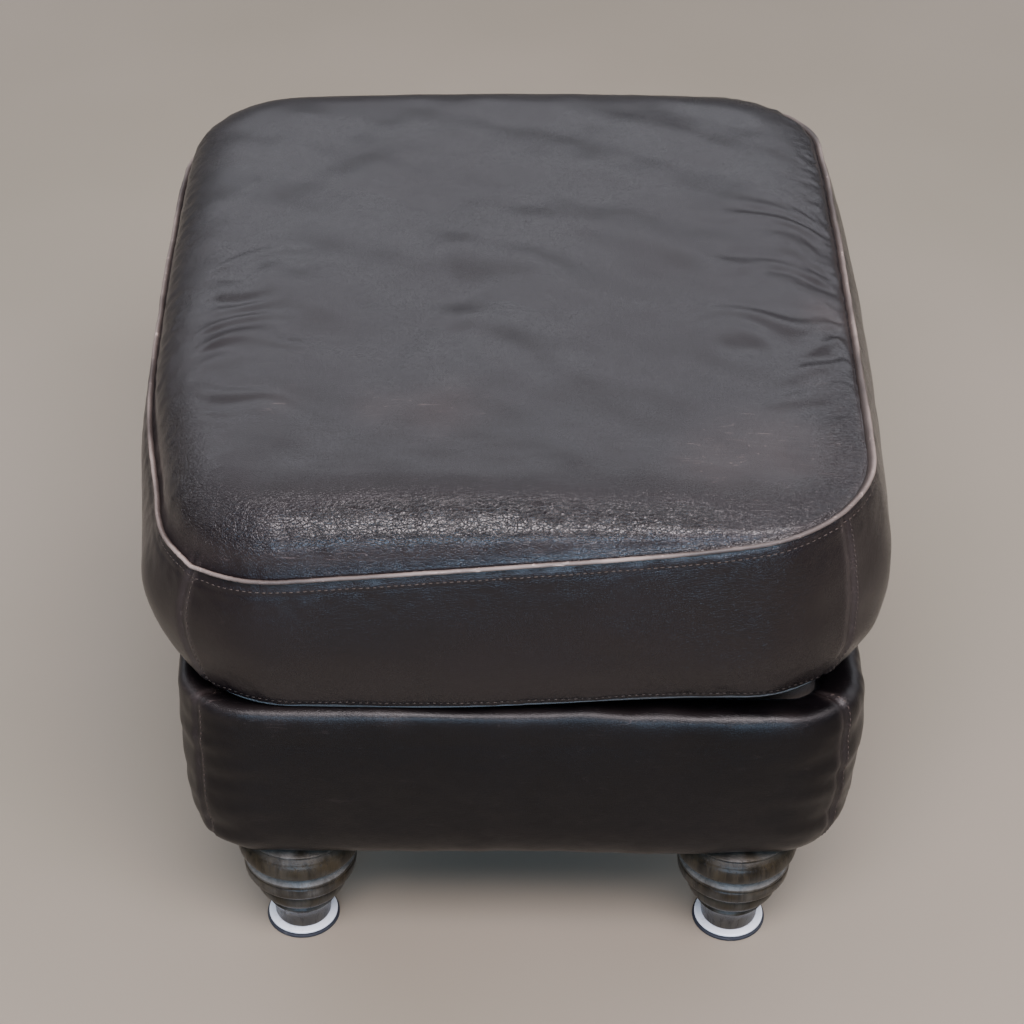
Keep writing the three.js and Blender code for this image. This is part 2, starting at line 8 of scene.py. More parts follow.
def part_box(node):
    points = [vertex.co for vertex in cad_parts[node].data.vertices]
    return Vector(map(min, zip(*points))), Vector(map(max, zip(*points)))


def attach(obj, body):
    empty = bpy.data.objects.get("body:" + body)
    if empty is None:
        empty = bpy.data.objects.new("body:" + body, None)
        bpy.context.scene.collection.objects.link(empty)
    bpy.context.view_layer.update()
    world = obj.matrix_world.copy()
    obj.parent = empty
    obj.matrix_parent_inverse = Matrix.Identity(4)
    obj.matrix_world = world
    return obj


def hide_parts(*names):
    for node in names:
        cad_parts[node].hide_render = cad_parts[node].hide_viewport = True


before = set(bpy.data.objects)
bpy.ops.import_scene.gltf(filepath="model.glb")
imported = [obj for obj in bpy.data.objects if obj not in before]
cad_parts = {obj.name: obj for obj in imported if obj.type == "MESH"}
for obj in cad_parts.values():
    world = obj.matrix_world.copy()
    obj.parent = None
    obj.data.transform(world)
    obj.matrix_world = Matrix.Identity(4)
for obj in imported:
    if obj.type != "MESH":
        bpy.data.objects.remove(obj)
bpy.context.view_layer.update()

RNG = np.random.default_rng(7)
MM = 0.001
UP = np.array([0.0, 0.0, 1.0])


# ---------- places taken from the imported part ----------

def box_of(*nodes):
    """The box round several CAD nodes, as two arrays."""
    boxes = [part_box(n) for n in nodes]
    return np.min([b[0] for b in boxes], 0), np.max([b[1] for b in boxes], 0)


BANDS = ["cushion_band_front", "cushion_band_right", "cushion_band_left",
         "cushion_band_back_upper", "cushion_band_back_lower"]
BASE_PANELS = ["base_panel_front", "base_panel_right", "base_panel_back", "base_panel_left"]
CORNER_PLACES = ["front_left", "front_right", "back_right", "back_left"]

band_low, band_high = box_of(*BANDS)
welt_low, welt_high = box_of("cushion_top_welt")
under_low = box_of("cushion_bottom_panel")[0]
base_low, base_high = box_of(*BASE_PANELS)
top_high = box_of("cushion_top_panel")[1]

BOW = 0.014             # how far the middle of the cushion's long sides stands out
COVER_GROWTH = 0.0003   # the covers stand this far outside the CAD panels
BASE_GROWTH = 0.001
CUSHION_X, CUSHION_Y = band_high[0] + COVER_GROWTH - BOW, -band_low[1] + COVER_GROWTH
CUSHION_CORNER = 0.110
SEAM_Z = (welt_low[2] + welt_high[2]) / 2
BOTTOM_SEAM_Z = band_low[2]
TOP_TUCK, BOTTOM_TUCK = 0.018, 0.026
TOP_Z = top_high[2]
UNDERSIDE_Z = under_low[2]

BASE_X, BASE_Y = base_high[0] + BASE_GROWTH, base_high[1] + BASE_GROWTH
BASE_CORNER = 0.066
BASE_BOTTOM, BASE_RIM = base_low[2], base_high[2]


# ---------- small mesh and number helpers ----------

def smooth(edge0, edge1, x):
    """0 below edge0, 1 above edge1, and a smooth step between them."""
    t = np.clip((np.asarray(x, float) - edge0) / (edge1 - edge0), 0, 1)
    return t * t * (3 - 2 * t)


def bump(x, centre, width):
    """A bell of height 1."""
    return np.exp(-(((np.asarray(x, float) - centre) / width) ** 2))


class Waves:
    """Smooth seeded noise of about -1 to 1: a sum of plane waves round one wavelength."""

    def __init__(self, wavelength, count=24, spread=0.5, stretch=(1, 1, 1), seed=0):
        rng = np.random.default_rng(seed)
        direction = rng.normal(size=(count, 3))
        direction /= np.linalg.norm(direction, axis=1)[:, None]
        length = wavelength * rng.uniform(1 - spread, 1 + spread, count)
        self.k = 2 * math.pi * direction / length[:, None] / np.array(stretch)
        self.phase = rng.uniform(0, 2 * math.pi, count)
        self.scale = math.sqrt(2 / count) * 0.7

    def __call__(self, points):
        return np.sin(points @ self.k.T + self.phase).sum(1) * self.scale


def new_object(name, vertices, faces, materials, body, face_slots=None, smooth_shading=True):
    """A mesh object from vertices and faces that rides on a body."""
    mesh = bpy.data.meshes.new(name)
    mesh.from_pydata([tuple(v) for v in vertices], [], [tuple(f) for f in faces])
    for m in materials:
        mesh.materials.append(m)
    if face_slots is not None:
        mesh.polygons.foreach_set("material_index", np.asarray(face_slots, np.int32))
    mesh.polygons.foreach_set("use_smooth", [smooth_shading] * len(mesh.polygons))
    mesh.update()
    made = bpy.data.objects.new(name, mesh)
    bpy.context.scene.collection.objects.link(made)
    if body:
        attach(made, body)
    return made


def set_attribute(obj, name, values):
    attribute = obj.data.attributes.get(name) or obj.data.attributes.new(name, "FLOAT", "POINT")
    attribute.data.foreach_set("value", np.asarray(values, np.float32))


def vectors(obj, key):
    """A vector for every vertex: its place for co, or its normal for normal."""
    obj.data.update()
    flat = np.zeros(len(obj.data.vertices) * 3)
    obj.data.vertices.foreach_get(key, flat)
    return flat.reshape(-1, 3)


def set_coordinates(obj, points):
    obj.data.vertices.foreach_set("co", np.asarray(points, float).ravel())
    obj.data.update()


def apply_modifiers(obj):
    """Bakes the modifiers into the mesh."""
    graph = bpy.context.evaluated_depsgraph_get()
    baked = bpy.data.meshes.new_from_object(obj.evaluated_get(graph))
    obj.modifiers.clear()
    old = obj.data
    obj.data = baked
    bpy.data.meshes.remove(old)


def subdivide(obj, levels=1):
    modifier = obj.modifiers.new("subdivide", "SUBSURF")
    modifier.levels = modifier.render_levels = levels
    apply_modifiers(obj)


def ring_faces(rings, count, first=0):
    """The faces between neighbouring rings of count points each."""
    return [(first + r * count + i, first + r * count + (i + 1) % count,
             first + (r + 1) * count + (i + 1) % count, first + (r + 1) * count + i)
            for r in range(rings - 1) for i in range(count)]


def tube_faces(rings, count, first=0):
    """The wall and the two ends of a closed tube made of rings."""
    last = first + (rings - 1) * count
    ends = [tuple(first + i for i in reversed(range(count))), tuple(last + i for i in range(count))]
    return ring_faces(rings, count, first) + ends


class Outline:
    """A rounded rectangle that starts in the middle of the front left corner, anticlockwise from
    above, with counts[0] steps along the front and back and counts[1] along the sides."""

    def __init__(self, half_x, half_y, corner, step):
        quarter = math.pi / 2 * corner
        halves = [half_x - corner, half_y - corner]
        lengths = [2 * half + quarter for half in halves]
        self.counts = [int(round(length / step)) for length in lengths]
        points, outward = [], []
        for side in range(4):
            half, reach = halves[side % 2], halves[1 - side % 2]
            total, count = lengths[side % 2], self.counts[side % 2]
            d = total * np.arange(count) / count - quarter / 2
            round_part = np.minimum(d, 0) + np.maximum(d - (total - quarter), 0)
            a = round_part / corner
            turned = np.column_stack([np.sin(a), -np.cos(a)])
            middle = np.column_stack([d - round_part - half, np.full(count, -reach)])
            angle = side * math.pi / 2
            spin = np.array([[math.cos(angle), math.sin(angle)], [-math.sin(angle), math.cos(angle)]])
            points.append((middle + corner * turned) @ spin)
            outward.append(turned @ spin)
        self.points, self.outward = np.vstack(points), np.vstack(outward)
        self.length = sum(lengths * 2)
        self.n = len(self.points)
        self.outward_3d = np.column_stack([self.outward, np.zeros(self.n)])
        self.corner_marks = np.cumsum([0, *self.counts, *self.counts])[:4]

    def ring(self, inset, z):
        """The ring pulled in by inset, at height z. Both may be arrays."""
        xy = self.points - self.outward * np.broadcast_to(inset, (self.n,))[:, None]
        return np.column_stack([xy, np.broadcast_to(z, (self.n,))])

    def fill(self):
        """How a grid fills the outline: interior places as (scale, ring position), and faces as
        indices where 0 to n-1 are the ring and n onwards are the interior."""
        nx, ny = self.counts
        tiny = 1e-9

        def perimeter(u, v):
            # the ring position, in steps, of a point on the square's edge
            if v < tiny - 1:
                return (u + 1) / 2 * nx
            if u > 1 - tiny:
                return nx + (v + 1) / 2 * ny
            if v > 1 - tiny:
                return nx + ny + (1 - u) / 2 * nx
            return 2 * nx + ny + (1 - v) / 2 * ny

        index, places = {}, []
        for j in range(ny + 1):
            for i in range(nx + 1):
                u, v = 2 * i / nx - 1, 2 * j / ny - 1
                s = max(abs(u), abs(v))
                if s > 1 - tiny:
                    index[i, j] = int(round(perimeter(u, v))) % self.n
                else:
                    index[i, j] = self.n + len(places)
                    places.append((s, perimeter(u / s, v / s) % self.n) if s > tiny else (0.0, 0.0))
        faces = [(index[i, j], index[i + 1, j], index[i + 1, j + 1], index[i, j + 1])
                 for j in range(ny) for i in range(nx)]
        return np.array(places), faces

    def inside(self, ring, places):
        """The (x, y) of the interior places of a ring."""
        scale, position = places[:, :1], places[:, 1]
        low = np.floor(position).astype(int) % self.n
        t = (position - np.floor(position))[:, None]
        on_ring = ring[low, :2] * (1 - t) + ring[(low + 1) % self.n, :2] * t
        return on_ring * scale


def edge_distance(x, y, half_x, half_y, corner):
    """Distance inwards from the edge of a rounded rectangle."""
    qx, qy = np.abs(x) - half_x + corner, np.abs(y) - half_y + corner
    outside = np.hypot(np.maximum(qx, 0), np.maximum(qy, 0))
    return corner - outside - np.minimum(np.maximum(qx, qy), 0)


TOP_EDGE_X, TOP_EDGE_Y = CUSHION_X - TOP_TUCK, CUSHION_Y - TOP_TUCK
TOP_BOW = 0.45          # the share of the bow that is left at the top seam


def bowed(y):
    """How much wider the long sides are at y, as a share of the cushion's half width."""
    return BOW / CUSHION_X * (1 - (y / CUSHION_Y) ** 2)


def slumped(x, y):
    """How much wider the slumped cover is at a place: most at the back and on the left."""
    return 0.020 + 0.10 * np.minimum(y, 0.2) - 0.018 * np.tanh(x / 0.1)


def slipped(x, y):
    """How far the top of the cover has slipped to the left: most on its left, behind the front."""
    return 0.003 + 0.018 * smooth(-0.04, -0.26, x) * smooth(-0.30, -0.10, y)


def top_edge_distance(points):
    """Distance inwards from the bowed and slipped top seam."""
    x, y = points[:, 0], points[:, 1]
    x = x + slipped(x, y)
    x = x / (1 + bowed(y) * TOP_BOW + slumped(x, y))
    return edge_distance(x, y, TOP_EDGE_X, TOP_EDGE_Y, CUSHION_CORNER - TOP_TUCK)


# ---------- materials ----------

class Nodes:
    """Short names for building a material's node tree."""

    def __init__(self, name):
        self.material = bpy.data.materials.new(name)
        self.material.use_nodes = True
        self.tree = self.material.node_tree
        self.tree.nodes.clear()
        self.out = self.add("OutputMaterial")
        self.shader = self.add("BsdfPrincipled")
        self.link(self.shader.outputs[0], self.out.inputs[0])
        self.place = self.add("TexCoord").outputs["Object"]

    def add(self, kind, inputs=(), **settings):
        """A node with settings, and with a value or another node's output at some of its inputs."""
        node = self.tree.nodes.new("ShaderNode" + kind)
        for key, value in settings.items():
            setattr(node, key, value)
        for key, value in dict(inputs).items():
            self.put(node.inputs[key], value)
        return node

    def link(self, a, b):
        self.tree.links.new(a, b)

    def put(self, socket, value):
        if isinstance(value, bpy.types.NodeSocket):
            self.link(value, socket)
        elif isinstance(value, tuple) and socket.type == "RGBA":
            socket.default_value = (*value, 1.0)
        else:
            socket.default_value = value

    def math(self, operation, a, b=0.0, clamp=False):
        return self.add("Math", {0: a, 1: b}, operation=operation, use_clamp=clamp).outputs[0]

    def times(self, a, b, clamp=False):
        return self.math("MULTIPLY", a, b, clamp)

    def plus(self, a, b):
        return self.math("ADD", a, b)

    def minus(self, a, b):
        return self.math("SUBTRACT", a, b)

    def from_half(self, value):
        """How far a value lies from a half, which draws thin lines where a noise crosses it."""
        return self.math("ABSOLUTE", self.minus(value, 0.5))

    def scaled(self, factors, turn=(0, 0, 0)):
        inputs = {"Vector": self.place, "Scale": factors, "Rotation": turn}
        return self.add("Mapping", inputs).outputs[0]

    def noise(self, scale, detail=2.0, roughness=0.5, distortion=0.0, at=None):
        inputs = {"Vector": at or self.place, "Scale": scale, "Detail": detail,
                  "Roughness": roughness, "Distortion": distortion}
        return self.add("TexNoise", inputs).outputs[0]

    def warped(self, scale, amount, at=None):
        """Coordinates pushed about by noise."""
        at = at or self.place
        noise = self.add("TexNoise", {"Vector": at, "Scale": scale, "Detail": 1.0})
        inputs = {0: noise.outputs["Color"], 1: (amount,) * 3, 2: at}
        return self.add("VectorMath", inputs, operation="MULTIPLY_ADD").outputs[0]

    def cells(self, scale, at):
        """Distance to the nearest edge between scattered cells."""
        inputs = {"Vector": at, "Scale": scale}
        return self.add("TexVoronoi", inputs, feature="DISTANCE_TO_EDGE").outputs["Distance"]

    def ramp(self, value, low, high, to_low=0.0, to_high=1.0):
        inputs = {"Value": value, "From Min": low, "From Max": high, "To Min": to_low, "To Max": to_high}
        return self.add("MapRange", inputs, interpolation_type="SMOOTHSTEP").outputs[0]

    def mix(self, factor, a, b):
        return self.add("Mix", {"Factor": factor, 6: a, 7: b}, data_type="RGBA").outputs[2]

    def attribute(self, name):
        return self.add("Attribute", attribute_name=name).outputs["Fac"]

    def bump(self, height, distance, strength=1.0, after=None):
        inputs = {"Height": height, "Distance": distance, "Strength": strength}
        if after is not None:
            inputs["Normal"] = after
        return self.add("Bump", inputs).outputs[0]

    def finish(self, color, roughness, normal=None, **sockets):
        self.put(self.shader.inputs["Base Color"], color)
        self.put(self.shader.inputs["Roughness"], roughness)
        if normal is not None:
            self.link(normal, self.shader.inputs["Normal"])
        for key, value in sockets.items():
            self.shader.inputs[key.replace("_", " ")].default_value = value
        return self.material


def leather(name, dark, light, rough_low=0.26, rough_high=0.36, worn=(0.100, 0.077, 0.072), shine=0.5):
    """Pebbled hide. The attributes wear and flex add rubbed places, and coarser grain and creases."""
    n = Nodes(name)
    wear, flex = n.attribute("wear"), n.attribute("flex")
    pores = n.noise(1500, 2, 0.6)
    pebbles = n.ramp(n.cells(560, at=n.warped(160, 0.0016)), 0.0, 0.16)
    wide = n.scaled((0.66, 1.0, 1.15))
    crackle = n.ramp(n.cells(300, at=n.warped(120, 0.0024, at=wide)), 0.0, 0.12)
    ripples = n.noise(110, 2, 0.5, 0.4, at=n.scaled((0.6, 1.0, 1.2)))
    crease_noise = n.noise(24, 2, 0.5, 0.5, at=n.scaled((1.3, 0.7, 0.7), (0.0, 0.0, 0.7)))
    creases = n.ramp(n.from_half(crease_noise), 0.0, 0.022)
    cloud = n.noise(5.5, 4, 0.55)
    patches = n.noise(24, 3, 0.6)
    flecks = n.ramp(n.noise(210, 1, 0.5), 0.74, 0.79)
    scratches = []
    for turn, scale in (((0.2, 0.4, 0.7), 40), ((0.5, 0.2, -0.5), 52)):
        line = n.noise(scale, 1, 0.5, 0.25, at=n.scaled((0.16, 3.0, 2.0), turn))
        scratches.append(n.ramp(n.from_half(line), 0.006, 0.0))
    tone = n.plus(n.times(n.ramp(cloud, 0.32, 0.68), 0.65),
                  n.times(n.ramp(patches, 0.3, 0.7), 0.35))
    color = n.mix(tone, dark, light)
    color = n.mix(n.times(n.minus(1.0, pebbles), 0.30), color,
                  tuple(c * 0.5 for c in dark))
    rub = n.times(wear, n.ramp(patches, 0.25, 0.62, 0.35, 1.0))
    broken = n.ramp(n.noise(75, 2, 0.6), 0.48, 0.62)
    lines = n.times(n.math("MAXIMUM", *scratches), broken)
    marks = n.plus(n.times(lines, 0.6), n.times(flecks, 0.4))
    marks = n.times(marks, n.plus(n.times(rub, 5.0), 0.05), clamp=True)
    color = n.mix(rub, color, worn)
    color = n.mix(marks, color, tuple(min(1, c * 1.7) for c in worn))
    rough = n.plus(n.ramp(cloud, 0.3, 0.7, rough_low, rough_high),
                   n.times(n.minus(pores, 0.5), 0.14))
    rough = n.plus(rough, n.times(rub, 0.18))
    rough = n.minus(rough, n.times(flex, 0.10))
    normal = n.bump(pores, 0.00007, 0.5)
    fine = n.plus(n.times(flex, 0.7), 0.3)
    normal = n.bump(n.times(pebbles, fine), 0.00020, 0.7, after=normal)
    coarse = n.times(flex, flex)
    normal = n.bump(n.times(crackle, coarse), 0.00030, 0.8, after=normal)
    rippled = n.plus(n.times(flex, 0.8), 0.2)
    normal = n.bump(n.times(ripples, rippled), 0.0005, 0.5, after=normal)
    normal = n.bump(n.times(creases, coarse), 0.00020, 0.6, after=normal)
    return n.finish(color, rough, normal, Specular_IOR_Level=shine)


def woven(name, warp_color, weft_color, threads, roughness=0.85, depth=0.0003, sheen=0.25):
    """Plain weave of a number of threads to the metre."""
    n = Nodes(name)
    spaced = n.warped(30, 0.0015)
    axes = n.add("SeparateXYZ")
    n.link(spaced, axes.inputs[0])
    across = n.math("SINE", n.times(axes.outputs[0], math.pi * threads))
    along = n.math("SINE", n.times(axes.outputs[1], math.pi * threads))
    height = n.times(across, along)
    over = n.ramp(height, -0.25, 0.25)
    slub = n.noise(70, 3, 0.6, at=n.scaled((1, 8, 1)))
    color = n.mix(over, warp_color, weft_color)
    color = n.mix(n.ramp(slub, 0.35, 0.7, 0.0, 0.3), color, tuple(c * 1.7 for c in warp_color))
    relief = n.plus(n.math("ABSOLUTE", height), n.times(slub, 0.4))
    rough = n.ramp(slub, 0.3, 0.7, roughness - 0.08, roughness + 0.06)
    return n.finish(color, rough, n.bump(relief, depth, 0.8), Sheen_Weight=sheen)


def turned_wood(name):
    """Dark stained wood whose grain runs up the foot. The attribute wear adds rubbed places, and painted
    highlights in the grooves and on the up-facing shoulders.
    """
    n = Nodes(name)
    wear = n.attribute("wear")
    stretched = n.scaled((1, 1, 0.07))
    growth = n.noise(150, 4, 0.65, 0.6, at=stretched)
    pores = n.ramp(n.noise(620, 2, 0.5, at=n.scaled((1, 1, 0.05))), 0.56, 0.66)
    cloud = n.noise(26, 3, 0.5)
    color = n.mix(n.ramp(growth, 0.33, 0.68), (0.006, 0.0045, 0.0026), (0.028, 0.021, 0.012))
    color = n.mix(n.ramp(cloud, 0.4, 0.72, 0.0, 0.5), color, (0.042, 0.032, 0.017))
    color = n.mix(n.times(pores, 0.55), color, (0.012, 0.008, 0.006))
    # pale where wear is high: rubbed ridges, and painted highlights in the grooves and on the up-facing
    # shoulders
    color = n.mix(n.times(wear, n.ramp(growth, 0.3, 0.6, 0.5, 0.9)), color, (0.15, 0.145, 0.135))
    rough = n.plus(n.ramp(cloud, 0.3, 0.7, 0.27, 0.42), n.times(pores, 0.15))
    normal = n.bump(n.minus(growth, pores), 0.0002, 0.7)
    return n.finish(color, rough, normal, Coat_Weight=0.05, Coat_Roughness=0.3,
                    Specular_IOR_Level=0.2)


def sawn_wood(name, dark, light):
    n = Nodes(name)
    growth = n.noise(34, 5, 0.65, 0.8, at=n.scaled((0.5, 0.5, 6)))
    fibre = n.noise(420, 2, 0.6, at=n.scaled((0.2, 0.2, 2)))
    color = n.mix(n.ramp(growth, 0.35, 0.65), dark, light)
    rough = n.ramp(fibre, 0.3, 0.7, 0.62, 0.82)
    return n.finish(color, rough, n.bump(fibre, 0.0003, 0.6))


def metal(name, color, dark, rough_low, rough_high):
    n = Nodes(name)
    cloud = n.noise(120, 3, 0.6)
    brushed = n.noise(900, 2, 0.5, at=n.scaled((1, 1, 0.1)))
    tint = n.mix(n.ramp(cloud, 0.42, 0.66), color, dark)
    rough = n.ramp(brushed, 0.3, 0.7, rough_low, rough_high)
    return n.finish(tint, rough, n.bump(brushed, 0.00004, 0.4), Metallic=1.0)


def moulded(name, color, scuffed, rough_low, rough_high):
    """Plastic or rubber with a fine moulded grain and scuffs."""
    n = Nodes(name)
    speck = n.noise(1100, 2, 0.6)
    cloud = n.noise(45, 3, 0.6)
    scuff = n.ramp(n.noise(130, 3, 0.6, 0.8), 0.55, 0.72, 0.0, 0.6)
    tint = n.mix(scuff, color, scuffed)
    rough = n.plus(n.ramp(cloud, 0.3, 0.7, rough_low, rough_high), n.times(scuff, 0.15))
    return n.finish(tint, rough, n.bump(speck, 0.00006, 0.6))


def thread(name, color, light):
    """Twisted sewing thread."""
    n = Nodes(name)
    strand = n.noise(2600, 2, 0.6)
    tint = n.mix(n.ramp(strand, 0.35, 0.65), color, light)
    return n.finish(tint, n.ramp(strand, 0.3, 0.7, 0.5, 0.75), n.bump(strand, 0.0001, 0.7))


HIDE = leather("hide", (0.0040, 0.0024, 0.0033), (0.0070, 0.0043, 0.0055), shine=0.42)
# A darker, duller copy of the hide: the shade on the base under the cushion is painted into its colour.
SHADED_BASE_HIDE = leather("shaded_base_hide", (0.0018, 0.0013, 0.0017), (0.0032, 0.0023, 0.0029), 0.30, 0.40, shine=0.25)
WELT_HIDE = leather("welt_hide", (0.030, 0.021, 0.018), (0.050, 0.036, 0.031), 0.4, 0.55, (0.26, 0.205, 0.18))
LINING = woven("lining", (0.028, 0.022, 0.018), (0.045, 0.036, 0.030), 900)
DUST_CLOTH = woven("dust_cloth", (0.010, 0.010, 0.011), (0.017, 0.017, 0.018), 1400, 0.9, 0.0001, 0.1)
TAPE = woven("zip_tape_cloth", (0.012, 0.011, 0.011), (0.022, 0.020, 0.019), 1600, 0.8, 0.00012)
WEB = woven("webbing_cloth", (0.20, 0.17, 0.13), (0.30, 0.27, 0.22), 500, 0.85, 0.0004)
FOOT_WOOD = turned_wood("foot_wood")
FRAME_WOOD = sawn_wood("frame_wood", (0.36, 0.24, 0.12), (0.55, 0.40, 0.23))
BRASS = metal("aged_brass", (0.30, 0.21, 0.10), (0.09, 0.065, 0.04), 0.28, 0.46)
STEEL = metal("zinc_steel", (0.62, 0.62, 0.63), (0.42, 0.42, 0.44), 0.24, 0.38)
NYLON = moulded("white_nylon", (0.76, 0.80, 0.86), (0.50, 0.50, 0.50), 0.3, 0.45)
RUBBER = moulded("dark_rubber", (0.012, 0.015, 0.024), (0.06, 0.06, 0.065), 0.6, 0.8)
THREAD = thread("brown_thread", (0.030, 0.020, 0.015), (0.065, 0.048, 0.038))
BASE_THREAD = thread("base_thread", (0.032, 0.020, 0.016), (0.07, 0.048, 0.037))


# ---------- the cushion ----------

STEP = 0.005
SKEW = 0.105            # how much higher the slumped cover's seam lies for each metre to the right
BAND_ROWS = 30
ROLL = 0.062            # width of the rolled edge of the top
PLATEAU_Z = TOP_Z - 0.023
CROWN_ACROSS, CROWN_ALONG = 0.013, 0.009  # how far the middle rises, across and along
FRONT_BOW, FRONT_FLAT = 0.003, 0.012      # how far the front stands out, and is drawn in at mid height


def top_seam_lift(x, y):
    """The cover has slipped round its filling: its seam is higher on the right."""
    front = smooth(0.0, -0.3, y)
    return SKEW * x * (0.62 + 0.38 * front) + 0.003 * np.cos(y * 9) + 0.010 * front * smooth(0.10, 0.28, x)


def bottom_seam_lift(x, y):
    """The front right of the cushion doesn't quite come down to the base."""
    front = smooth(-0.18, -0.33, y)
    return front * 0.013 * smooth(-0.09, 0.16, x) * smooth(0.33, 0.22, x)


def widen(points, share):
    """Bows the sides out, less so at the top seam, where the cover also sits to the left."""
    top = smooth(0.45, 1.0, share)
    x, y = points[:, 0], points[:, 1]
    wider = 1 + bowed(y) * (1 - (1 - TOP_BOW) * top) + slumped(x, y)
    deeper = 1 + np.where(y < 0, FRONT_BOW, 0) / CUSHION_Y * (1 - (x / CUSHION_X) ** 2)
    flatter = FRONT_FLAT * 4 * share * (1 - share) * smooth(-0.26, -0.34, y)
    return np.column_stack([x * wider - slipped(x, y) * top, y * deeper + flatter, points[:, 2]])


outline = Outline(CUSHION_X, CUSHION_Y, CUSHION_CORNER, STEP)
N = outline.n
BAND_HEIGHT = SEAM_Z - BOTTOM_SEAM_Z
rows, row_share = [], []
for t in np.arange(BAND_ROWS + 1) / BAND_ROWS:
    v = t - 0.06 * math.sin(2 * math.pi * t)  # rows are closer together near both seams
    s = 2 * v - 1
    inset = (BOTTOM_TUCK if s < 0 else TOP_TUCK) * s * s
    ring = outline.ring(inset, BOTTOM_SEAM_Z + v * BAND_HEIGHT)
    ring[:, 2] += top_seam_lift(ring[:, 0], ring[:, 1]) * smooth(0.30, 1.0, v)
    ring[:, 2] += bottom_seam_lift(ring[:, 0], ring[:, 1]) * smooth(0.6, 0.0, v)
    rows.append(ring)
    row_share.append(v)

places, fill_faces = outline.fill()


def crown_height(x, y, edge_z):
    """Height of the top: a rolled edge that rises to a gently crowned plateau."""
    d = edge_distance(x, y, TOP_EDGE_X, TOP_EDGE_Y, CUSHION_CORNER - TOP_TUCK)
    t = np.clip(d / ROLL, 0, 1)
    rise = np.sqrt(np.clip(1 - (1 - t) ** 2.1, 0, 1))
    plateau = PLATEAU_Z + CROWN_ACROSS * (1 - (x / CUSHION_X) ** 2) + CROWN_ALONG * (1 - (y / CUSHION_Y) ** 2)
    return edge_z + (plateau - edge_z) * rise


top_xy = outline.inside(rows[-1], places)
edge_z = SEAM_Z + top_seam_lift(top_xy[:, 0], top_xy[:, 1])
top_inner = np.column_stack([top_xy, crown_height(top_xy[:, 0], top_xy[:, 1], edge_z)])

under_xy = outline.inside(rows[0], places)
d_under = edge_distance(under_xy[:, 0], under_xy[:, 1], CUSHION_X - BOTTOM_TUCK,
                        CUSHION_Y - BOTTOM_TUCK, CUSHION_CORNER - BOTTOM_TUCK)
under_z = UNDERSIDE_Z + (BOTTOM_SEAM_Z - UNDERSIDE_Z) * (1 - smooth(0, 0.028, d_under)) ** 1.5
under_z = under_z + bottom_seam_lift(under_xy[:, 0], under_xy[:, 1]) * (1 - smooth(0, 0.05, d_under))
under_inner = np.column_stack([under_xy, under_z])

band_count = N * (BAND_ROWS + 1)
ones, zeros = np.ones(len(places)), np.zeros(len(places))
height_share = np.r_[np.repeat(row_share, N), ones, zeros]
cushion_points = widen(np.vstack([*rows, top_inner, under_inner]), height_share)
top_start, under_start = band_count, band_count + len(places)
TOP_ROW = N * BAND_ROWS

cushion_faces = ring_faces(BAND_ROWS + 1, N)
cushion_faces += [tuple(TOP_ROW + k if k < N else top_start + k - N for k in face) for face in fill_faces]
hide_count = len(cushion_faces)
cushion_faces += [tuple(k if k < N else under_start + k - N for k in reversed(face)) for face in fill_faces]
cushion_slots = [0] * hide_count + [1] * len(fill_faces)
cushion = new_object("cushion_cover", cushion_points, cushion_faces, [HIDE, LINING], "cushion",
                     cushion_slots)


# ---------- surface detail that is pushed into a mesh along its normals ----------

fold_noise = Waves(0.060, seed=3)
hollow_noise = Waves(0.150, 18, 0.4, seed=11)
slack_noise = Waves(0.030, 30, 0.5, (2.6, 1, 1), seed=5)
pucker_noise = Waves(0.016, 30, 0.5, seed=8)
buckle_noise = Waves(0.040, 20, 0.4, seed=21)


def stress_folds(p, side, centre_y, half_y, reach, spacing, seed):
    """Soft folds on the top that fan inwards from a stretch of the side seam."""
    wander = Waves(0.09, 14, 0.4, seed=seed)
    strength = Waves(0.05, 14, 0.4, seed=seed + 1)
    x, y = p[:, 0] * side, p[:, 1]
    d = np.clip(TOP_EDGE_X - x, 0, 1)
    fan = (y - centre_y) / (1 + 0.5 * d / reach) + 0.009 * wander(p)
    ridge = np.sin(fan * 2 * math.pi / spacing)
    rounded = np.where(ridge > 0, ridge, -np.abs(ridge) ** 0.6)
    length = reach * (0.80 + 0.30 * strength(np.column_stack([0 * x, fan, 0 * x])))
    fade = smooth(length, length * 0.2, d) * smooth(0.004, 0.026, d)
    return rounded * fade * smooth(1.1, 0.7, np.abs(fan) / half_y) * (0.75 + 0.25 * strength(p))


def furrow(p, start, end, width):
    """A bell-shaped trough along a line on the top, which fades at its ends."""
    a, b = np.array(start), np.array(end)
    run = b - a
    t = ((p[:, :2] - a) @ run) / (run @ run)
    nearest = a + np.clip(t, 0, 1)[:, None] * run
    away = np.linalg.norm(p[:, :2] - nearest, axis=1)
    return bump(away, 0, width)


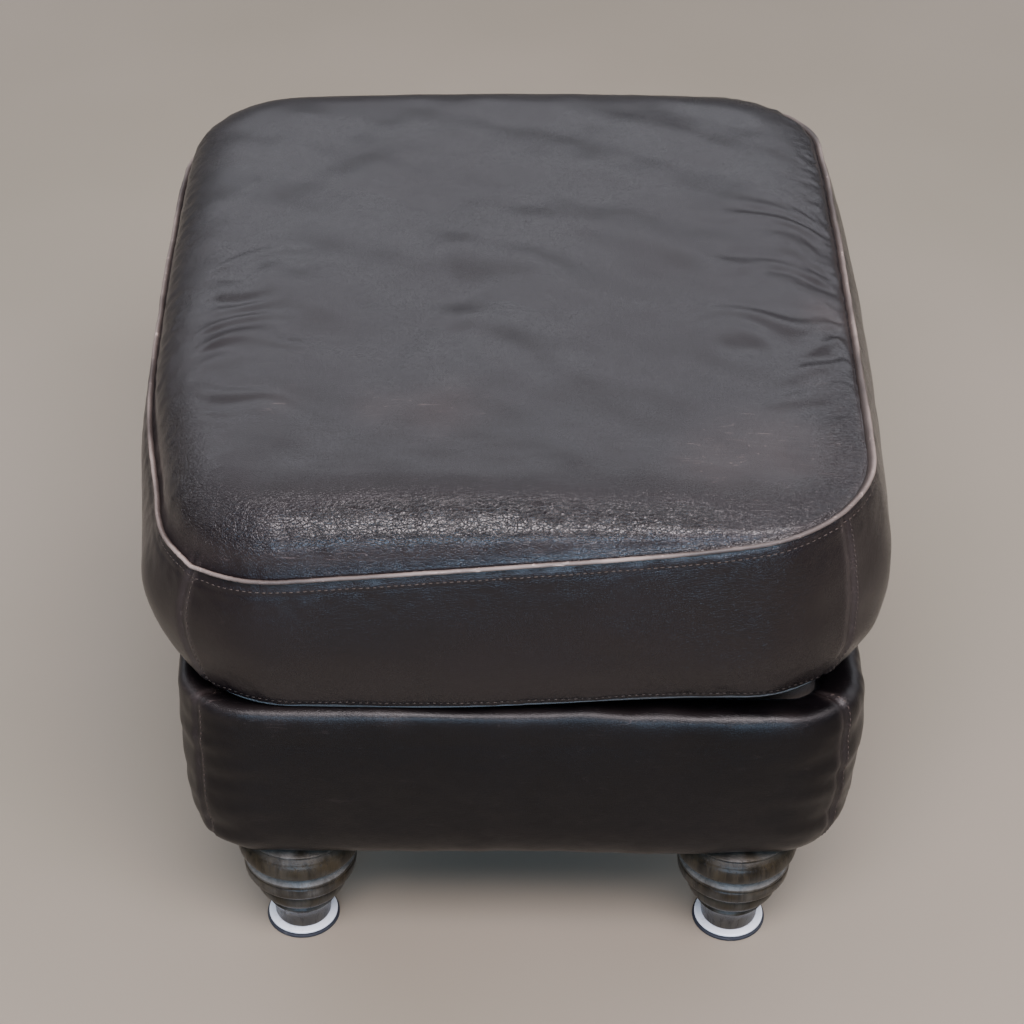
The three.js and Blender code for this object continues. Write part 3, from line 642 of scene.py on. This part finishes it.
HOLLOWS = [  # start, end, width and depth of each soft trough of the top
    ((-0.055, -0.035), (0.010, -0.050), 0.030, 0.00432),
    ((-0.165, 0.005), (-0.095, -0.105), 0.032, 0.00432),
    ((-0.040, -0.130), (0.005, -0.150), 0.028, 0.00378),
    ((0.060, 0.020), (0.130, -0.010), 0.030, 0.00297),
    ((0.050, -0.120), (0.110, -0.140), 0.030, 0.00189),
    ((-0.070, 0.130), (0.020, 0.110), 0.045, 0.00270),
    ((0.165, -0.128), (0.240, -0.115), 0.014, 0.00243),
    ((0.185, 0.022), (0.250, -0.008), 0.012, 0.00162),
]
FRONT_CREASES = [  # start, end and depth of the diagonal creases of the front roll
    ((-0.007, -0.312), (0.003, -0.342), 0.0006),
    ((0.010, -0.318), (0.034, -0.341), 0.0006),
    ((0.024, -0.312), (0.050, -0.339), 0.0004),
    ((0.093, -0.310), (0.112, -0.333), 0.0006),
    ((0.104, -0.312), (0.124, -0.336), 0.0004),
    ((-0.100, -0.318), (-0.092, -0.340), 0.0003),
]
CREASE_WIDTH = 0.0035
SIDE_FOLDS = [  # side, middle and half of the stretch, reach, spacing and depth of each fan of folds
    (-1, -0.095, 0.100, 0.130, 0.026, 0.0013),
    (-1, -0.095, 0.110, 0.055, 0.012, 0.0004),
    (1, -0.045, 0.150, 0.150, 0.031, 0.0014),
    (1, -0.045, 0.160, 0.060, 0.013, 0.0004),
]


def top_detail(p):
    """Hollows, stress folds and creases of the cushion's top."""
    x, y = p[:, 0], p[:, 1]
    d = top_edge_distance(p)
    inside = smooth(0.02, 0.11, d)
    flat = p * [1, 1, 0]
    out = 0.0015 * hollow_noise(flat) * inside + 0.00035 * fold_noise(flat) * smooth(0.0, 0.05, d)
    shifted = p + np.column_stack([0.010 * hollow_noise(flat), 0.010 * hollow_noise(flat + 3), 0 * x])
    for start, end, width, depth in HOLLOWS:
        swell = 0.45 * furrow(shifted, start, end, width * 2)
        out += depth * (swell - furrow(shifted, start, end, width))
    for side, centre_y, half_y, reach, spacing, depth in SIDE_FOLDS:
        out += depth * stress_folds(p, side, centre_y, half_y, reach, spacing, 50 + 4 * side)
    for start, end, depth in FRONT_CREASES:
        out -= depth * furrow(p + 0.004 * fold_noise(p)[:, None], start, end, CREASE_WIDTH)
    front = smooth(-0.20, -0.27, y) * smooth(0.0, 0.02, d)
    out -= 0.00018 * front * np.abs(slack_noise(p)) ** 0.8
    return out


def band_detail(p, v):
    """Slack folds of the band, most on the right of the front."""
    x, y = p[:, 0], p[:, 1]
    out = 0.0004 * fold_noise(p * [0.6, 0.6, 0.8])
    middle = 4 * v * (1 - v)
    slack = smooth(0.0, 0.2, x) * smooth(-0.2, -0.3, y) + 0.35
    out += 0.0006 * slack * slack_noise(p[:, [2, 0, 1]] * [1.6, 0.5, 0.5]) * middle
    out += 0.0003 * pucker_noise(p) * smooth(0.35, 0.0, np.minimum(v, 1 - v))
    return out


def corner_distance(shape, i):
    """Distance along a ring from ring index i to the nearest corner seam."""
    gap = np.abs(i[:, None] - shape.corner_marks[None, :])
    return np.min(np.minimum(gap, shape.n - gap), 1) * shape.length / shape.n


def seam_lines(distance, *lines):
    """Sunk and raised lines beside a seam, each with its height, middle and width."""
    return sum(height * bump(distance, middle, width) for height, middle, width in lines)


# The values that guide the pushes are written on the coarse mesh, and the subdivision spreads them.
v_of = np.full(len(cushion_points), -1.0)
v_of[:band_count] = np.repeat(row_share, N)
ring_index = np.tile(np.arange(N), BAND_ROWS + 1)
seam_gap = np.full(len(cushion_points), 1.0)
seam_gap[:band_count] = corner_distance(outline, ring_index)
set_attribute(cushion, "band_v", v_of)
set_attribute(cushion, "seam_gap", seam_gap)
set_attribute(cushion, "is_top", np.r_[np.zeros(band_count), ones, zeros])


def read_attribute(obj, name):
    values = np.zeros(len(obj.data.vertices), np.float32)
    obj.data.attributes[name].data.foreach_get("value", values)
    return values.astype(float)


subdivide(cushion)
p = vectors(cushion, "co")
nrm = vectors(cushion, "normal")
v = read_attribute(cushion, "band_v")
is_top = read_attribute(cushion, "is_top")
gap = read_attribute(cushion, "seam_gap")
on_band = (v >= 0) & (v <= 1) & (gap < 0.9)
below = (1 - v) * BAND_HEIGHT                # distance below the top seam
above = v * BAND_HEIGHT                      # distance above the bottom seam
d_top = top_edge_distance(p)
TOP_STITCHES, BOTTOM_STITCHES = 0.0085, 0.0070  # how far the stitches lie from the two seams
zip_clear = 1 - smooth(0.290, 0.305, p[:, 1]) * smooth(0.354, 0.339, p[:, 2])
band_push = band_detail(p, np.clip(v, 0, 1)) * zip_clear
band_push += seam_lines(gap, (-0.0022, 0, 0.0035), (0.0012, 0, 0.014))
band_push += seam_lines(below, (-0.0010, 0, 0.0040), (-0.0004, TOP_STITCHES, 0.0022))
band_push += seam_lines(above, (-0.0020, 0, 0.0035), (-0.0008, BOTTOM_STITCHES, 0.0020))
top_push = top_detail(p) + seam_lines(d_top, (-0.0022, 0, 0.006))
top_push += 0.0004 * pucker_noise(p) * bump(d_top, 0.012, 0.012)
push = is_top * top_push + np.where(on_band, band_push, 0)
p = p + nrm * push[:, None]
set_coordinates(cushion, p)

# x, y, size and strength of each rubbed place of the top
SCUFFS = [(-0.065, -0.212, 0.030, 0.11), (-0.115, -0.208, 0.020, 0.07), (0.200, -0.250, 0.045, 0.13),
          (0.250, -0.060, 0.022, 0.14), (0.140, -0.270, 0.030, 0.10), (-0.190, -0.200, 0.015, 0.06)]
roll_rub = 0.02 * bump(d_top, 0.030, 0.020) * (0.6 + 0.4 * fold_noise(p))
wear = is_top * (roll_rub + 0.16 * bump(d_top, 0.003, 0.004))
wear += np.where(on_band, 0.22 * bump(gap, 0.003, 0.004) + 0.04 * bump(below, 0.003, 0.004), 0)
for x0, y0, size, amount in SCUFFS:
    wear += is_top * amount * bump(np.hypot(p[:, 0] - x0, p[:, 1] - y0), 0, size)
flex = is_top * (0.80 * bump(d_top, 0.018, 0.022) * smooth(-0.10, -0.27, p[:, 1])
                 + 0.20 * bump(d_top, 0.02, 0.03) + 0.10)
flex += np.where(on_band, 0.25 + 0.30 * smooth(0.0, 0.2, p[:, 0]), 0)
set_attribute(cushion, "wear", np.clip(wear, 0, 1))
set_attribute(cushion, "flex", np.clip(flex, 0, 1))
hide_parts(*BANDS, "cushion_top_panel", "cushion_bottom_panel", "cushion_foam_core",
            "cushion_fibre_wrap")


# ---------- seams: the raised lip, and stitches ----------

def closed(line):
    """A line of points, or of values, with its first one repeated at the end."""
    return np.vstack([line, line[:1]])


def distances(line):
    """Distance travelled along a line at each of its points."""
    return np.r_[0, np.cumsum(np.linalg.norm(np.diff(line, axis=0), axis=1))]


def point_at(at, travelled, line):
    """The place on a line, or a value along it, at a distance or at many."""
    return np.array([np.interp(at, travelled, line[:, k]) for k in range(3)]).T


def sweep_closed(path, out, section):
    """A tube along a closed path. section is a list of (outwards, sideways) offsets, and out is the
    outward direction at each point."""
    tangent = np.roll(path, -1, 0) - np.roll(path, 1, 0)
    tangent /= np.linalg.norm(tangent, axis=1)[:, None]
    side = np.cross(tangent, out)
    side /= np.linalg.norm(side, axis=1)[:, None]
    points = np.stack([path + out * a + side * b for a, b in section], 1).reshape(-1, 3)
    m, n = len(section), len(path)
    faces = [(i * m + k, ((i + 1) % n) * m + k, ((i + 1) % n) * m + (k + 1) % m, i * m + (k + 1) % m)
             for i in range(n) for k in range(m)]
    return points, faces


def resample(path, step):
    """Points at even steps along a closed path, and how far along it they lie."""
    line = closed(path)
    travelled = distances(line)
    count = max(2, int(round(travelled[-1] / step)))
    at = np.linspace(0, travelled[-1], count, endpoint=False)
    return point_at(at, travelled, line), at


def stitch_run(path, out, length, pitch, radius, is_closed=True):
    """Stitches of a given length and pitch lying on a line. out is the surface's outward direction
    at each point of the path."""
    if is_closed:
        path, out = closed(path), closed(out)
    travelled = distances(path)
    count = int(travelled[-1] / pitch)
    starts = np.arange(count) * travelled[-1] / count
    points, faces = [], []
    along_steps = np.linspace(-1, 1, 7)
    around = np.arange(6) * math.pi / 3
    for s in starts:
        jitter = RNG.normal(0, 0.05, 3)
        centre = s + length / 2 + jitter[0] * length * 0.6
        faces += tube_faces(len(along_steps), len(around), len(points))
        for u in along_steps:
            at = centre + u * length / 2 * (1 + jitter[1])
            c = point_at(at, travelled, path)
            o = point_at(at, travelled, out)
            o /= np.linalg.norm(o)
            t = point_at(at + 0.0005, travelled, path) - c
            t /= np.linalg.norm(t) + 1e-12
            w = np.cross(t, o)
            swell = radius * math.sqrt(max(0.06, 1 - abs(u) ** 3))
            height = radius * (0.4 - 1.6 * u ** 4)  # the ends dip under the surface
            middle = c + o * height + w * jitter[2] * radius * 1.4 * u
            for a in around:
                points.append(middle + o * (math.cos(a) * swell * 0.8) + w * (math.sin(a) * swell))
    return points, faces


def surface_line(obj, points):
    """Points moved onto the nearest surface of a mesh, with the normals there."""
    obj.data.update()
    found, ups = [], []
    for q in points:
        _, place, normal, _ = obj.closest_point_on_mesh(Vector(q))
        found.append(place)
        ups.append(normal)
    return np.array(found), np.array(ups)


def join_parts(parts):
    """Several lists of points and faces as one of each."""
    points, faces = [], []
    for some_points, some_faces in parts:
        shift = len(points)
        points.extend(some_points)
        faces.extend(tuple(i + shift for i in f) for f in some_faces)
    return points, faces


def smooth_closed(values):
    """The values of a closed line, each eased towards its neighbours, twice."""
    for _ in range(2):
        values = (np.roll(values, 1, 0) + 2 * values + np.roll(values, -1, 0)) / 4
    return values


OFF_SURFACE = 0.002     # a line starts this far outside a mesh and is then laid on it


def corner_stitches(obj, shape, points, rows_used, length, pitch, radius):
    """Runs of stitches up the four corner seams, one column of the mesh beside each."""
    runs = []
    for mark in shape.corner_marks:
        column = (mark + 1) % shape.n
        raw = np.array([points[r * shape.n + column] for r in rows_used])
        line, up = surface_line(obj, raw + shape.outward_3d[column] * OFF_SURFACE)
        runs.append(stitch_run(line, up, length, pitch, radius, is_closed=False))
    return runs


bpy.context.view_layer.update()
seam_path = smooth_closed(p[TOP_ROW:TOP_ROW + N])
bottom_path = smooth_closed(p[:N])


def resample_pair(path, out, step):
    """A closed path and its outward directions at even steps."""
    both, at = resample(path, step)
    turned = point_at(at, distances(closed(path)), closed(out))
    return both, turned / np.linalg.norm(turned, axis=1)[:, None]


# The lip is a folded edge of hide that stands out of the seam and leans up by some 45 degrees.
LIP_STEP = 0.0025
lip_path, lip_out = resample_pair(seam_path, outline.outward_3d, LIP_STEP)
lip_dir = lip_out * 0.72 + UP * 0.69
LIP_SECTION = [(-0.0045, -0.0014), (0.0010, -0.0017), (0.0030, -0.0016), (0.0038, -0.0008),
               (0.0038, 0.0008), (0.0030, 0.0016), (0.0010, 0.0017), (-0.0045, 0.0014)]
lip_path = lip_path + lip_out * 0.0004 + np.random.default_rng(4).normal(0, 0.00005, (len(lip_path), 1))
lip_points, lip_faces = sweep_closed(lip_path, lip_dir, LIP_SECTION)
lip = new_object("cushion_lip", lip_points, lip_faces, [WELT_HIDE], "cushion")
crest = np.tile([0, 0.15, 0.6, 1, 1, 0.6, 0.15, 0], len(lip_path))
rub = 0.55 + 0.45 * Waves(0.09, seed=14)(lip_points)
set_attribute(lip, "wear", np.clip(crest * rub, 0, 1))
set_attribute(lip, "flex", np.full(len(lip_points), 0.1))
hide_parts("cushion_top_welt")

BAND_PITCH = 0.0052     # from stitch to stitch
stitches = []
for seam, down, length, radius in ((seam_path, TOP_STITCHES, 0.0036, 0.00045),
                                   (bottom_path, -BOTTOM_STITCHES, 0.0034, 0.00040)):
    line, up = surface_line(cushion, seam - UP * down + outline.outward_3d * OFF_SURFACE)
    stitches.append(stitch_run(line, up, length, BAND_PITCH, radius))
stitches += corner_stitches(cushion, outline, p, range(2, BAND_ROWS - 1), 0.0034, 0.0050, 0.00042)
cushion_stitches = new_object("cushion_stitches", *join_parts(stitches), [THREAD], "cushion")


# ---------- the base ----------

BASE_STEP = 0.005
base_outline = Outline(BASE_X, BASE_Y, BASE_CORNER, BASE_STEP)
BN = base_outline.n


def bezier(a, b, c, count):
    """Points of a curve from a towards c, bent towards b."""
    t = np.linspace(0, 1, count, endpoint=False)[:, None]
    a, b, c = (np.array(q, float) for q in (a, b, c))
    return (1 - t) ** 2 * a + 2 * t * (1 - t) * b + t * t * c


H0, H1 = BASE_BOTTOM / MM, BASE_RIM / MM
DECK_Z = box_of("deck_cloth")[1][2]
profile = np.vstack([
    bezier((46, H0), (40, H0), (33, H0), 4),
    bezier((33, H0), (8, H0 + 1), (4, H0 + 44), 16),
    bezier((4, H0 + 44), (-1, H0 + 106), (2, H1 - 23), 20),
    bezier((2, H1 - 23), (2, H1 + 5), (16, H1 + 4.5), 10),
    bezier((16, H1 + 4.5), (25, H1 + 3), (34, H1), 5),
    bezier((34, H1), (38, H1 - 2), (41, DECK_Z / MM), 3),
    [[41, DECK_Z / MM], [41.5, DECK_Z / MM - 4]],
]) * MM
PR = len(profile)
base_points = np.vstack([base_outline.ring(inset, z) for inset, z in profile])
base = new_object("base_cover", base_points, ring_faces(PR, BN), [SHADED_BASE_HIDE], "base")
set_attribute(base, "seam_gap", corner_distance(base_outline, np.tile(np.arange(BN), PR)))
set_attribute(base, "profile", np.repeat(np.arange(PR) / (PR - 1), BN))
subdivide(base)
q = vectors(base, "co")
nrm = vectors(base, "normal")
gap = read_attribute(base, "seam_gap")
share = read_attribute(base, "profile")
side_zone = smooth(0.05, 0.2, share) * smooth(0.98, 0.9, share)
puff = 0.0012 * hollow_noise(q * 0.7) + 0.0004 * fold_noise(q * [1, 1, 0.7]) + 0.0001 * pucker_noise(q)
RIM_ROLL = 0.80         # where the rolled rim lies along the profile
rim_gather = 0.0007 * slack_noise(q * [1.2, 1.2, 0.3]) * bump(share, RIM_ROLL, 0.12)
near_corner = bump(gap, 0, 0.05)
gather = 0.0010 * near_corner * buckle_noise(q[:, [2, 1, 0]] * [1.6, 0.4, 0.4])
corner_lines = seam_lines(gap, (-0.0024, 0, 0.0035), (0.0010, 0, 0.015))
push = (puff + rim_gather + gather - 0.0008 + corner_lines) * side_zone
push += 0.0040 * bump(share, RIM_ROLL, 0.06) * smooth(0.14, -0.02, q[:, 0])
q = q + nrm * push[:, None]
set_coordinates(base, q)
wear = 0.16 * bump(gap, 0.003, 0.004) * side_zone
wear += 0.10 * bump(share, RIM_ROLL, 0.05) * (0.6 + 0.4 * fold_noise(q))
wear += 0.25 * bump(share, 0.12, 0.06) * smooth(0.2, 0.9, fold_noise(q * 1.5) + 0.4) * near_corner
set_attribute(base, "wear", np.clip(wear, 0, 1))
set_attribute(base, "flex", np.clip(0.20 + 0.1 * near_corner, 0, 1))
solid = base.modifiers.new("thickness", "SOLIDIFY")
solid.thickness = 0.0016
solid.offset = -1
apply_modifiers(base)
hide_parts(*BASE_PANELS, "base_side_padding")

runs = corner_stitches(base, base_outline, base_points, range(int(PR * 0.12), int(PR * 0.90)),
                       0.0036, 0.0056, 0.00045)
base_stitches = new_object("base_stitches", *join_parts(runs), [BASE_THREAD], "base")

# The deck is a padded cloth panel inside the rolled rim. The dust cover lies under the frame.
PANEL_STEP = 0.006


def filled_outline(half_x, half_y, corner, height):
    """A panel whose height comes from a function of its flat points and their distance from the edge."""
    shape = Outline(half_x, half_y, corner, PANEL_STEP)
    spots, panel_faces = shape.fill()
    ring = shape.ring(0, 0)
    points = np.vstack([ring, np.column_stack([shape.inside(ring, spots), np.zeros(len(spots))])])
    points[:, 2] = height(points, edge_distance(points[:, 0], points[:, 1], half_x, half_y, corner))
    return points, panel_faces, shape


deck_low, deck_high = box_of("deck_cloth", "deck_pad")
weave_dip = Waves(0.18, 16, 0.3, seed=31)


def deck_height(flat, d):
    rolled_edge = 0.004 * (1 - smooth(0, 0.02, d))
    return deck_high[2] - rolled_edge + 0.0012 * weave_dip(flat) + 0.003 * smooth(0.02, 0.2, d)


deck_points, deck_faces, deck_shape = filled_outline(deck_high[0] + 0.0008, deck_high[1] + 0.0008, 0.021,
                                                     deck_height)
deck_ring, k0 = deck_shape.n, len(deck_points)
deck_bottom = deck_points.copy()
deck_bottom[:, 2] = deck_low[2]
deck_all = np.vstack([deck_points, deck_bottom])
deck_all_faces = list(deck_faces) + [tuple(i + k0 for i in reversed(f)) for f in deck_faces]
deck_all_faces += [(k0 + i, k0 + (i + 1) % deck_ring, (i + 1) % deck_ring, i) for i in range(deck_ring)]
deck = new_object("deck", deck_all, deck_all_faces, [LINING], "base")
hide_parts("deck_cloth", "deck_pad")

dust_low, dust_high = box_of("dust_cover")
dust_noise = Waves(0.07, 20, 0.5, seed=41)


def dust_height(flat, d):
    slack = 0.0009 * dust_noise(flat) * smooth(0.004, 0.03, d)
    return dust_low[2] + 0.0002 - 0.003 * smooth(0.01, 0.12, d) + slack


dust_points, dust_faces, dust_shape = filled_outline(dust_high[0], dust_high[1], 0.028, dust_height)
dust = new_object("dust_cloth", dust_points, [tuple(reversed(f)) for f in dust_faces], [DUST_CLOTH], "base")
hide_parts("dust_cover")

STAPLE = [(-0.0052, 0.0012), (-0.0050, -0.0003), (-0.0042, -0.0007), (0.0042, -0.0007),
          (0.0050, -0.0003), (0.0052, 0.0012)]  # its wire's (along, up) places
staple_points, staple_faces = [], []
spots, _ = resample(dust_shape.ring(0.006, 0), 0.042)
ahead = np.roll(spots, -1, 0) - np.roll(spots, 1, 0)
for c, t in zip(spots, ahead):
    t = t / np.linalg.norm(t)
    t = np.array(Matrix.Rotation(RNG.normal(0, 0.35), 3, "Z") @ Vector(t))
    w = np.array([-t[1], t[0], 0])
    staple_faces += tube_faces(len(STAPLE), 4, len(staple_points))
    for along, up in STAPLE:
        middle = np.array([c[0], c[1], dust_low[2] - 0.0001]) + t * along + UP * up
        for a, b in ((-1, -1), (1, -1), (1, 1), (-1, 1)):
            staple_points.append(middle + w * a * 0.0005 + UP * b * 0.0003)
staples = new_object("staples", staple_points, staple_faces, [STEEL], "base", smooth_shading=False)


# ---------- feet and glides ----------

def lathe(name, shape, x, y, material, segments):
    """A turned piece of the base from a profile of (radius, height), closed at both ends."""
    around = np.arange(segments) * 2 * math.pi / segments
    points = [(x + radius * math.cos(a), y + radius * math.sin(a), z) for radius, z in shape for a in around]
    return new_object(name, points, tube_faces(len(shape), segments), [material], "base")


def hash_name(name):
    """A seed that differs from name to name."""
    return sum(ord(c) * (i + 1) for i, c in enumerate(name))


def bevel_edges(obj, width):
    edge = obj.modifiers.new("edge", "BEVEL")
    edge.width, edge.segments, edge.limit_method = width, 2, "ANGLE"


def foot_profile(low, high):
    """A flared toe and three beads with sloping shoulders, between two heights in millimetres."""
    parts = [
        [(22.4, low), (23.3, low + 0.4), (23.7, low + 1.4)],
        bezier((23.8, low + 2.2), (24.4, 22), (29.2, 29.6), 9),
        bezier((29.4, 29.9), (30.6, 31.0), (29.6, 32.0), 4),
        [(27.4, 34.2), (26.8, 34.9), (26.9, 35.6)],
        bezier((27.4, 36.0), (35.6, 38.5), (38.2, 46.5), 9),
        bezier((38.2, 46.5), (39.6, 52), (38.4, 55.4), 5),
        [(37.7, 56.0), (37.4, 56.7), (38.2, 57.4)],
        bezier((39.0, 57.8), (45.4, 60.5), (47.3, 67.0), 8),
        [(47.4, 70.5), (47.2, 73.4), (46.7, 74.4), (46.1, 74.8), (46.2, 75.5), (47.0, 75.9)],
        bezier((47.2, 76.3), (47.9, 78.2), (46.6, 79.6), 5),
        [(43.3, 83.4), (42.5, 84.2), (42.6, 85.0)],
        bezier((43.4, 85.4), (50.8, 87.5), (51.9, 94.0), 9),
        bezier((51.9, 94.0), (52.4, 101.5), (49.4, 104.9), 8),
        bezier((49.2, 105.1), (49.0, 106.2), (48.0, 107.2), 3),
        [(45.7, 109.4), (45.2, 110.0), (46.4, 110.5), (46.9, high - 0.8), (46.4, high), (8.0, high)],
    ]
    return [(r * MM, z * MM) for part in parts for r, z in part]


FOOT_SEGMENTS, GLIDE_SEGMENTS = 96, 72
GLIDES = [  # prefix, material, slot and profile as shares of the radius and height
    ("glide_disc", NYLON, "white_nylon",
     [(0.0, 0.0), (0.9, 0.0), (1.0, 0.25), (1.0, 0.7), (0.985, 0.93), (0.96, 1.0), (0.0, 1.0)]),
    ("glide_pad", RUBBER, "dark_rubber",
     [(0.0, 0.0), (0.97, 0.0), (1.0, 0.3), (1.0, 0.8), (0.985, 1.0), (0.0, 1.0)]),
]
for place in CORNER_PLACES:
    node = f"foot_{place}"
    low, high = box_of(node)
    x, y = (low[0] + high[0]) / 2, (low[1] + high[1]) / 2
    shape = foot_profile(low[2] / MM, high[2] / MM)
    foot = lathe(f"turned_foot_{place}", shape, x, y, FOOT_WOOD, FOOT_SEGMENTS)
    spread = np.array([r for r, _ in shape])
    local = np.convolve(np.pad(spread, 4, "edge"), np.ones(9) / 9, "valid")
    ridge = np.clip((spread - local) / 0.0016, 0, 1)
    patchy = 0.5 + 0.5 * Waves(0.025, seed=hash_name(place))(vectors(foot, "co"))
    rub = np.repeat(ridge, FOOT_SEGMENTS) * patchy
    # Painted highlights: pale in the grooves and on the shoulders that face up, where the light catches.
    painted_groove_highlight = np.repeat(np.clip((local - spread) / 0.0012, 0, 1), FOOT_SEGMENTS)
    rise = np.diff([z for _, z in shape], append=high[2] + MM)
    sloping = (np.diff(spread, append=0) < -0.5 * rise) & (rise > 3 * MM)
    painted_shoulder_highlight = np.repeat(sloping | np.roll(sloping, 1), FOOT_SEGMENTS)
    # wear holds the rubbed ridges, and also the painted highlights of the grooves and shoulders
    set_attribute(foot, "wear", np.clip(rub * 0.5 + painted_groove_highlight * 0.2 + painted_shoulder_highlight * 0.6, 0, 1))
    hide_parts(node)

    for prefix, material, slot_name, glide_shape in GLIDES:
        node = f"{prefix}_{place}"
        low, high = box_of(node)
        radius = (high[0] - low[0]) / 2
        shape = [(max(a, 0.02) * radius, low[2] + b * (high[2] - low[2])) for a, b in glide_shape]
        glide = lathe(node.replace("glide", "round_glide"), shape, x, y, material, GLIDE_SEGMENTS)
        bevel_edges(glide, 0.0003)
        apply_modifiers(glide)
        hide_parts(node)


# ---------- the zip's teeth ----------

chain_low, chain_high = box_of("zip_chain")
PITCH = 0.0026          # of the zip's teeth
tooth_points, tooth_faces = [], []
mid_y, mid_z = (chain_low[1] + chain_high[1]) / 2, (chain_low[2] + chain_high[2]) / 2
half_z, half_y = (chain_high[2] - chain_low[2]) / 2, (chain_high[1] - chain_low[1]) / 2
TOOTH = [(-0.95, 0.55), (0.25, 0.55), (0.55, 0.30), (0.55, -0.8), (-0.95, -0.8)]  # (up, out) shares
for k in range(int((chain_high[0] - chain_low[0]) / PITCH)):
    x = chain_low[0] + (k + 0.5) * PITCH
    sign = 1 if k % 2 else -1
    start = len(tooth_points)
    for dx in (-1, 1):
        for zz, yy in TOOTH:
            tooth_points.append((x + dx * PITCH * 0.36, mid_y + yy * half_y, mid_z + sign * -zz * half_z))
    faces = tube_faces(2, len(TOOTH), start)
    tooth_faces += faces if sign < 0 else [tuple(reversed(face)) for face in faces]
teeth = new_object("zip_teeth", tooth_points, tooth_faces, [BRASS], "cushion", smooth_shading=False)
edge = teeth.modifiers.new("edge", "BEVEL")
edge.width, edge.segments = 0.0002, 1
apply_modifiers(teeth)
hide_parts("zip_chain")


# ---------- better materials on the CAD nodes that stay ----------

CAD_LOOKS = {
    "zip_tape": TAPE, "zip_slider": BRASS, "zip_pull": BRASS, "webbing": WEB, "hanger_bolt": STEEL,
    "tee_nut": STEEL, "leg_block": FRAME_WOOD, "front_rail": FRAME_WOOD, "back_rail": FRAME_WOOD,
    "left_rail": FRAME_WOOD, "right_rail": FRAME_WOOD,
}
for name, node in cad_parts.items():
    for prefix, material in CAD_LOOKS.items():
        if name.startswith(prefix):
            node.data.materials.clear()
            node.data.materials.append(material)
for name in ("zip_slider", "zip_pull"):
    bevel_edges(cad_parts[name], 0.0003)


# ---------- floor, light and camera ----------

def stage_material():
    n = Nodes("pale_floor")
    cloud = n.noise(1.5, 3, 0.5)
    color = n.mix(n.ramp(cloud, 0.3, 0.7), (0.222, 0.192, 0.145), (0.248, 0.213, 0.168))
    return n.finish(color, n.ramp(cloud, 0.3, 0.7, 0.5, 0.6))


FLOOR_HALF = 4.0
floor_mesh_points = [(x, y, 0) for x, y in ((-1, -1), (1, -1), (1, 1), (-1, 1))]
floor = new_object("floor", np.array(floor_mesh_points) * FLOOR_HALF, [(0, 1, 2, 3)], [stage_material()],
                   None)


def soft_light(name, place, target, size, power, color):
    """A rectangle of light, in metres and watts, that faces a target."""
    light = bpy.data.lights.new(name, "AREA")
    light.shape, light.size, light.size_y = "RECTANGLE", size[0], size[1]
    light.energy, light.color = power, color
    made = bpy.data.objects.new(name, light)
    made.location = place
    made.rotation_mode = "QUATERNION"
    made.rotation_quaternion = (Vector(target) - Vector(place)).to_track_quat("-Z", "Y")
    bpy.context.scene.collection.objects.link(made)


MIDDLE = (0, 0, 0.3)
soft_light("overhead", (0.25, -1.60, 2.6), (0.0, -0.33, 0.45), (2.4, 1.1), 168, (1.0, 0.91, 0.94))
soft_light("ceiling", (0.0, 0.65, 2.9), (0.0, 0.2, 0.3), (3.0, 1.7), 27, (0.98, 0.96, 1.0))
soft_light("far_window", (0.0, 3.6, 3.0), MIDDLE, (8.0, 2.4), 136, (0.91, 0.92, 1.0))
soft_light("left_window", (-3.4, 1.0, 2.3), MIDDLE, (4.0, 2.4), 52, (0.94, 0.94, 1.0))
soft_light("right_window", (3.4, 1.0, 2.3), MIDDLE, (4.0, 2.4), 52, (0.94, 0.94, 1.0))
soft_light("camera_side", (-0.2, -3.4, 1.25), MIDDLE, (2.4, 1.2), 84, (0.50, 0.72, 1.0))

world = bpy.data.worlds.new("studio")
bpy.context.scene.world = world
world.use_nodes = True
background = world.node_tree.nodes["Background"].inputs
background["Color"].default_value = (0.82, 0.86, 0.92, 1)
background["Strength"].default_value = 0.18

CAMERA_PLACE = (-0.0277, -1.7496, 1.5660)
camera_data = bpy.data.cameras.new("camera")
camera_data.sensor_width = 36
camera_data.lens = 86.1
camera_data.dof.use_dof = False
camera = bpy.data.objects.new("camera", camera_data)
bpy.context.scene.collection.objects.link(camera)
right = Vector((0.99991, -0.00235, 0.01329))
upward = Vector((-0.00909, 0.61095, 0.79162))
backward = right.cross(upward)
camera.matrix_world = Matrix((
    (right.x, upward.x, backward.x, CAMERA_PLACE[0]),
    (right.y, upward.y, backward.y, CAMERA_PLACE[1]),
    (right.z, upward.z, backward.z, CAMERA_PLACE[2]),
    (0, 0, 0, 1),
))
bpy.context.scene.camera = camera
